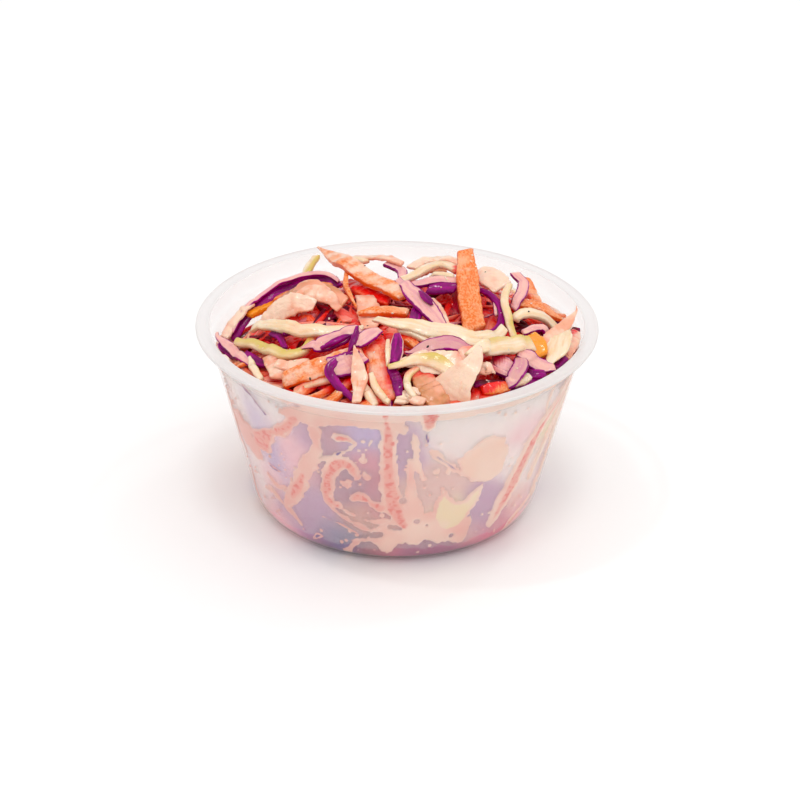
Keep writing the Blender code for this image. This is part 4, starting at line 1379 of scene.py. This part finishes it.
# %% Carrot
def grated_carrot():
    """Orange with a fine grain of lighter cells where the blade tore them."""
    material, tree, out = new_material("grated_carrot")
    grain = add(tree, "Attribute", out="Vector", attribute_name="grain")
    long_cells = add(tree, "VectorMath", {0: grain, 1: (0.75, 1.0, 1.0)}, operation="MULTIPLY")
    cells = add(tree, "TexNoise", {"Vector": long_cells, "Scale": 2.8, "Detail": 2.0})
    broad = add(tree, "TexNoise", {"Vector": grain, "Scale": 0.22, "Detail": 1.0})
    color = laid_over(tree, linear("F0741E"), linear("FFA066"), cells, 0.4, 0.62)
    color = laid_over(tree, color, linear("FFB488"), broad, 0.48, 0.78)
    section = add(tree, "Attribute", out="Vector", attribute_name="section")
    across = add(tree, "SeparateXYZ", {"Vector": section})
    across = add(tree, "Math", {0: across}, operation="ABSOLUTE")
    color = laid_over(tree, color, linear("F0620C"), across, 0.88, 1.0)
    look = add(tree, "Attribute", out="Vector", attribute_name="look")
    tint = add(tree, "SeparateXYZ", {"Vector": look})
    color = laid_over(tree, color, linear("FF9A1A"), tint, 1.0, 1.6)
    # F81008 is the painted shade of carrot that lies deep in the heap.
    shader = dress(tree, color, 0.6, 0.95, "F81008", cells, 0.36, 0.2, 0.15)
    tree.links.new(shader, out)
    return material


# %% Red cabbage
def red_cabbage_finish():
    """Pale pink flesh inside a thin purple skin. The skin vector says whether a shred's edges, face and
    back are skin, and the section says where on the shred a point is."""
    material, tree, out = new_material("shredded_red_cabbage")
    grain = add(tree, "Attribute", out="Vector", attribute_name="grain")
    section = add(tree, "Attribute", out="Vector", attribute_name="section")
    across, through, _ = add(tree, "SeparateXYZ", {"Vector": section}).node.outputs
    skins = add(tree, "Attribute", out="Vector", attribute_name="skin")
    edge, face, back = add(tree, "SeparateXYZ", {"Vector": skins}).node.outputs
    side = add(tree, "Math", {0: across}, operation="ABSOLUTE")
    uneven = add(tree, "TexNoise", {"Vector": grain, "Scale": 0.8})
    side = add(tree, "Math", {0: uneven, 1: 0.16, 2: side}, operation="MULTIPLY_ADD")
    rim = add(tree, "MapRange", {"Value": side, 1: 0.86, 2: 0.95}, interpolation_type="SMOOTHSTEP")
    upper = add(tree, "MapRange", {"Value": through, 1: -0.3, 2: 0.3}, interpolation_type="SMOOTHSTEP")
    flat = add(tree, "Mix", {0: upper, 2: back, 3: face})
    skin = add(tree, "Mix", {0: rim, 2: flat, 3: edge})
    long_streaks = add(tree, "VectorMath", {0: grain, 1: (0.25, 1.6, 1.6)}, operation="MULTIPLY")
    streaks = add(tree, "TexNoise", {"Vector": long_streaks, "Scale": 1.0, "Detail": 3.0})
    flesh = laid_over(tree, linear("F6BCB0"), linear("E8A4A8"), streaks, 0.38, 0.68)
    near_rim = add(tree, "Math", {0: side, 1: edge}, operation="MULTIPLY")
    flesh = laid_over(tree, flesh, linear("A04CA0"), near_rim, 0.78, 1.02)
    purple = laid_over(tree, linear("74005A"), linear("A80082"), streaks, 0.35, 0.7)
    share = add(tree, "MapRange", {"Value": skin, 1: 0.3, 2: 0.7})
    color = add(tree, "Mix", {0: share, 6: flesh, 7: purple}, out=2, data_type="RGBA")
    # C00040 is the painted shade of red cabbage that lies deep in the heap.
    shader = dress(tree, color, 0.86, 1.05, "C00040", streaks, 0.27, 0.12, 0.06)
    tree.links.new(shader, out)
    return material


# %% White cabbage
def white_cabbage_finish():
    """Cream, turning yellow-green along some stretches and on the thin side of the leaf."""
    material, tree, out = new_material("shredded_white_cabbage")
    grain = add(tree, "Attribute", out="Vector", attribute_name="grain")
    section = add(tree, "Attribute", out="Vector", attribute_name="section")
    across = add(tree, "SeparateXYZ", {"Vector": section})
    look = add(tree, "Attribute", out="Vector", attribute_name="look")
    tint = add(tree, "SeparateXYZ", {"Vector": look})
    long_streaks = add(tree, "VectorMath", {0: grain, 1: (0.2, 1.5, 1.5)}, operation="MULTIPLY")
    streaks = add(tree, "TexNoise", {"Vector": long_streaks, "Scale": 0.9, "Detail": 3.0})
    stretch = add(tree, "TexNoise", {"Vector": grain, "Scale": 0.16, "Detail": 1.0})
    green = add(tree, "Math", {0: across, 1: -0.22, 2: stretch}, operation="MULTIPLY_ADD")
    green = add(tree, "Math", {0: tint, 1: 0.5, 2: green}, operation="MULTIPLY_ADD")
    color = laid_over(tree, linear("F9E1C4"), linear("F3CEA2"), streaks, 0.35, 0.65)
    color = laid_over(tree, color, linear("F2B48C"), stretch, 0.55, 0.9)
    color = laid_over(tree, color, linear("DCBE62"), green, 0.8, 1.2)
    # FF2420 is the painted shade of white cabbage that lies deep in the heap.
    shader = dress(tree, color, 0.85, 1.05, "FF2420", streaks, 0.3, 0.2, 0.15)
    tree.links.new(shader, out)
    return material


# %% Dressed leaves
def dressed_leaf_finish():
    """Soft leaf under an even coat of dressing, which is thinner and more orange here and there. By
    their own tint, leaves run from tan over peach to nearly cream."""
    material, tree, out = new_material("dressed_cabbage_leaf")
    grain = add(tree, "Attribute", out="Vector", attribute_name="grain")
    look = add(tree, "Attribute", out="Vector", attribute_name="look")
    tint = add(tree, "SeparateXYZ", {"Vector": look})
    broad = add(tree, "TexNoise", {"Vector": grain, "Scale": 0.3})
    broad = add(tree, "Math", {0: tint, 1: 0.3, 2: broad}, operation="MULTIPLY_ADD")
    long_veins = add(tree, "VectorMath", {0: grain, 1: (0.35, 1.4, 1.4)}, operation="MULTIPLY")
    veins = add(tree, "TexNoise", {"Vector": long_veins, "Scale": 0.9, "Detail": 3.0})
    color = laid_over(tree, linear("CC8450"), linear("F6A888"), broad, 0.1, 0.45)
    color = laid_over(tree, color, linear("FDD8BE"), broad, 0.47, 0.8)
    color = laid_over(tree, color, linear("F49C6C"), veins, 0.6, 0.85)
    # FF1C20 is the painted shade of a leaf that lies deep in the heap.
    shader = dress(tree, color, 0.74, 1.02, "FF1C20", veins, 0.28, 0.2, 0.15)
    tree.links.new(shader, out)
    return material


# %% Pepper and beads of dressing
def cracked_pepper():
    """Dry broken peppercorn: nearly black, with brown faces."""
    material, tree, out = new_material("cracked_pepper")
    grain = add(tree, "Attribute", out="Vector", attribute_name="grain")
    faces = add(tree, "TexNoise", {"Vector": grain, "Scale": 4.0})
    color = laid_over(tree, linear("1E1418"), linear("5A3A30"), faces, 0.5, 0.7)
    tree.links.new(add(tree, "BsdfPrincipled", {"Base Color": color, "Roughness": 0.5}), out)
    return material


def bead_finish():
    """A thick wet drop of the pink-cream dressing."""
    material, tree, out = new_material("dressing_bead")
    grain = add(tree, "Attribute", out="Vector", attribute_name="grain")
    pools = add(tree, "TexNoise", {"Vector": grain, "Scale": 0.5})
    color = laid_over(tree, linear("F6BC9C"), linear("FFE6D4"), pools, 0.35, 0.65)
    inputs = {
        "Base Color": color,
        "Roughness": 0.15,
        "Subsurface Weight": 0.3,
        "Subsurface Scale": 0.0008,
        "Coat Weight": 0.6,
    }
    tree.links.new(add(tree, "BsdfPrincipled", inputs), out)
    return material


# %% The core and what touches the wall
def wall_dressing():
    """Peach dressing where the core is wet, painted paler to the right and higher up where more light
    falls, paler along the edge of the film, with a painted highlight line near the floor, the pressed
    shreds in it, soft patches of colour where the slaw stands back, and painted dark red shade on the deep
    top.
    Its noises read millimetres."""
    material, tree, out = new_material("dressing_on_wall")
    place = add(tree, "TexCoord", out="Object")
    place = add(tree, "VectorMath", {0: place, "Scale": 1000.0}, operation="SCALE")
    behind = add(tree, "Attribute", out="Vector", attribute_name="behind")
    inside = add(tree, "Attribute", out="Fac", attribute_name="inside")
    dressing = add(tree, "Attribute", out="Vector", attribute_name="film")
    wet, outline, red = add(tree, "SeparateXYZ", {"Vector": dressing}).node.outputs
    pressed = add(tree, "Attribute", out="Vector", attribute_name="bits")
    carrot_bit, purple_bit, pale_bit = add(tree, "SeparateXYZ", {"Vector": pressed}).node.outputs
    fine = add(tree, "TexNoise", {"Vector": place, "Scale": 1.3, "Detail": 3.0})
    broad = add(tree, "TexNoise", {"Vector": place, "Scale": 0.13})
    east, _, height = add(tree, "SeparateXYZ", {"Vector": place}).node.outputs
    # Painted light: the peach is paler towards the right and higher up, where more light falls on the wall,
    # and it also varies at random with the broad noise.
    tone_and_painted_light = add(tree, "Math", {0: east, 1: 0.009, 2: broad}, operation="MULTIPLY_ADD")
    tone_and_painted_light = add(tree, "Math", {0: height, 1: 0.006, 2: tone_and_painted_light}, operation="MULTIPLY_ADD")
    peach = laid_over(tree, linear("EEAA9C"), linear("F8D2C0"), tone_and_painted_light, 0.36, 0.82)
    color = laid_over(tree, behind, peach, wet, 0.3, 0.7)
    # A pale line along the film's edge, and a painted highlight line near the floor.
    color = laid_over(tree, color, linear("FFE6D8"), outline, 0.3, 2.0)
    pale = laid_over(tree, linear("F2DCB0"), linear("F6CEB8"), height, 14.0, 20.0)
    pale = laid_over(tree, pale, linear("FADAC8"), broad, 0.4, 0.7)
    color = laid_over(tree, color, pale, pale_bit, 0.2, 1.2)
    color = laid_over(tree, color, linear("FFEAE0"), height, 32.0, 37.5)
    color = laid_over(tree, color, linear("F09C8A"), carrot_bit, 0.1, 1.3)
    color = laid_over(tree, color, linear("E6544A"), red, 0.1, 1.3)
    color = laid_over(tree, color, linear("5C1C8C"), purple_bit, 0.2, 0.9)
    # Painted shade: the deep top under the loose shreds is painted dark red, as little light gets down
    # there.
    painted_deep_shade = laid_over(tree, linear("6A0A22"), linear("C03422"), fine, 0.42, 0.66)
    color = add(tree, "Mix", {0: inside, 6: color, 7: painted_deep_shade}, out=2, data_type="RGBA")
    bump = add(tree, "Bump", {"Height": fine, "Strength": 0.3, "Distance": 0.0002})
    inputs = {
        "Base Color": color,
        "Roughness": 0.35,
        "Subsurface Weight": 0.4,
        "Subsurface Radius": (1.0, 0.5, 0.4),
        "Subsurface Scale": 0.0018,
        "Normal": bump,
    }
    tree.links.new(add(tree, "BsdfPrincipled", inputs), out)
    return material


# %% Hand the pieces over
FINISHES = {
    "carrot_shreds": grated_carrot,
    "red_cabbage_shreds": red_cabbage_finish,
    "white_cabbage_shreds": white_cabbage_finish,
    "dressed_leaves": dressed_leaf_finish,
    "pepper_specks": cracked_pepper,
    "dressing_beads": bead_finish,
}
for kind, piece in pieces.items():
    piece.data.materials.append(FINISHES[kind]())
    print(kind, "has", piece.data.materials[0].name)
core.data.materials.append(wall_dressing())
for piece in (core, *pieces.values()):
    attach(piece, "root")
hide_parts("coleslaw")


# %% [markdown]
# ## Floor, light and camera
# A product cup is shown on white card under soft light from all round. A bright even world gives the soft
# light, and two far softboxes, wider than any lamp near by could be, give the cup its faint shadow on the
# floor. Two small softboxes only put sparkle on the wet shreds. The camera looks down on the cup from the
# front, with a long lens, so the rim's far side is nearly as wide as the near one.

# %% Stage
FLOOR_HALF = 3000.0


def make_floor():
    """A square of white card under the cup, so large that its edge is never seen."""
    points = np.array([[-1, -1, 0], [1, -1, 0], [1, 1, 0], [-1, 1, 0]]) * FLOOR_HALF
    floor = make_mesh("floor", points, [[0, 1, 2, 3]], smooth=False)
    material, tree, out = new_material("white_card")
    inputs = {"Base Color": linear("FBFAF9"), "Roughness": 0.8, "Specular IOR Level": 0.1}
    tree.links.new(add(tree, "BsdfPrincipled", inputs), out)
    floor.data.materials.append(material)
    return floor


make_floor()

# %% Light
world = bpy.data.worlds.new("soft_room")
world.use_nodes = True
room = world.node_tree.nodes["Background"].inputs
room["Color"].default_value = (1.0, 0.985, 0.975, 1.0)
room["Strength"].default_value = 0.73
bpy.context.scene.world = world
bpy.context.scene.view_settings.view_transform = "Standard"


def far_softbox(name, strength, wide, tilt, turned, color):
    """A sun lamp that looks as many degrees wide as a large softbox far away does. It is tilted from
    straight above by some degrees and then turned about the cup. It lights the whole floor evenly."""
    light = bpy.data.lights.new(name, "SUN")
    light.energy = strength
    light.angle = np.radians(wide)
    light.color = color
    obj = bpy.data.objects.new(name, light)
    obj.rotation_euler = (np.radians(tilt), 0.0, np.radians(turned))
    bpy.context.scene.collection.objects.link(obj)


def softbox(name, place, aim, size, watts, color):
    """A square area light at a place, turned to face a point."""
    light = bpy.data.lights.new(name, "AREA")
    light.size = size * MM
    light.energy = watts
    light.color = color
    obj = bpy.data.objects.new(name, light)
    obj.location = Vector(place) * MM
    obj.rotation_euler = (Vector(aim) - Vector(place)).to_track_quat("-Z", "Y").to_euler()
    bpy.context.scene.collection.objects.link(obj)


HEAP_MIDDLE = (0.0, 0.0, 30.0)
WHITE = (1.0, 1.0, 1.0)
far_softbox("ceiling", strength=0.7, wide=75.0, tilt=20.0, turned=35.0, color=(0.95, 1.0, 1.03))
far_softbox("key", strength=0.34, wide=12.0, tilt=12.0, turned=8.0, color=(0.97, 1.0, 1.02))
softbox("sparkle", (-120.0, -60.0, 380.0), HEAP_MIDDLE, size=18.0, watts=0.11, color=WHITE)
softbox("sparkle_right", (150.0, 60.0, 330.0), HEAP_MIDDLE, size=12.0, watts=0.05, color=WHITE)

# %% Camera
CAMERA_AWAY = 400.0
CAMERA_UP = np.radians(27.65)  # how far it stands above the floor's level, as seen from the cup
ROLL = np.radians(0.64)
AIM_Z = 18.5
SENSOR = 36.0
LENS = 94.68
SHIFT = (0.004875, 0.00925)  # the cup stands a little off the middle of the frame

camera_data = bpy.data.cameras.new("camera")
camera_data.sensor_width = SENSOR
camera_data.lens = LENS
camera_data.shift_x, camera_data.shift_y = SHIFT
camera_data.clip_start = 0.01
camera_data.clip_end = 20.0
camera = bpy.data.objects.new("camera", camera_data)
bpy.context.scene.collection.objects.link(camera)
back = Vector((0.0, -np.cos(CAMERA_UP), np.sin(CAMERA_UP)))
camera.matrix_world = (
    Matrix.Translation((Vector((0.0, 0.0, AIM_Z)) + back * CAMERA_AWAY) * MM)
    @ (-back).to_track_quat("-Z", "Y").to_matrix().to_4x4()
    @ Matrix.Rotation(ROLL, 4, "Z")
)
bpy.context.scene.camera = camera
print("camera at, mm:", [round(v / MM) for v in camera.matrix_world.translation])
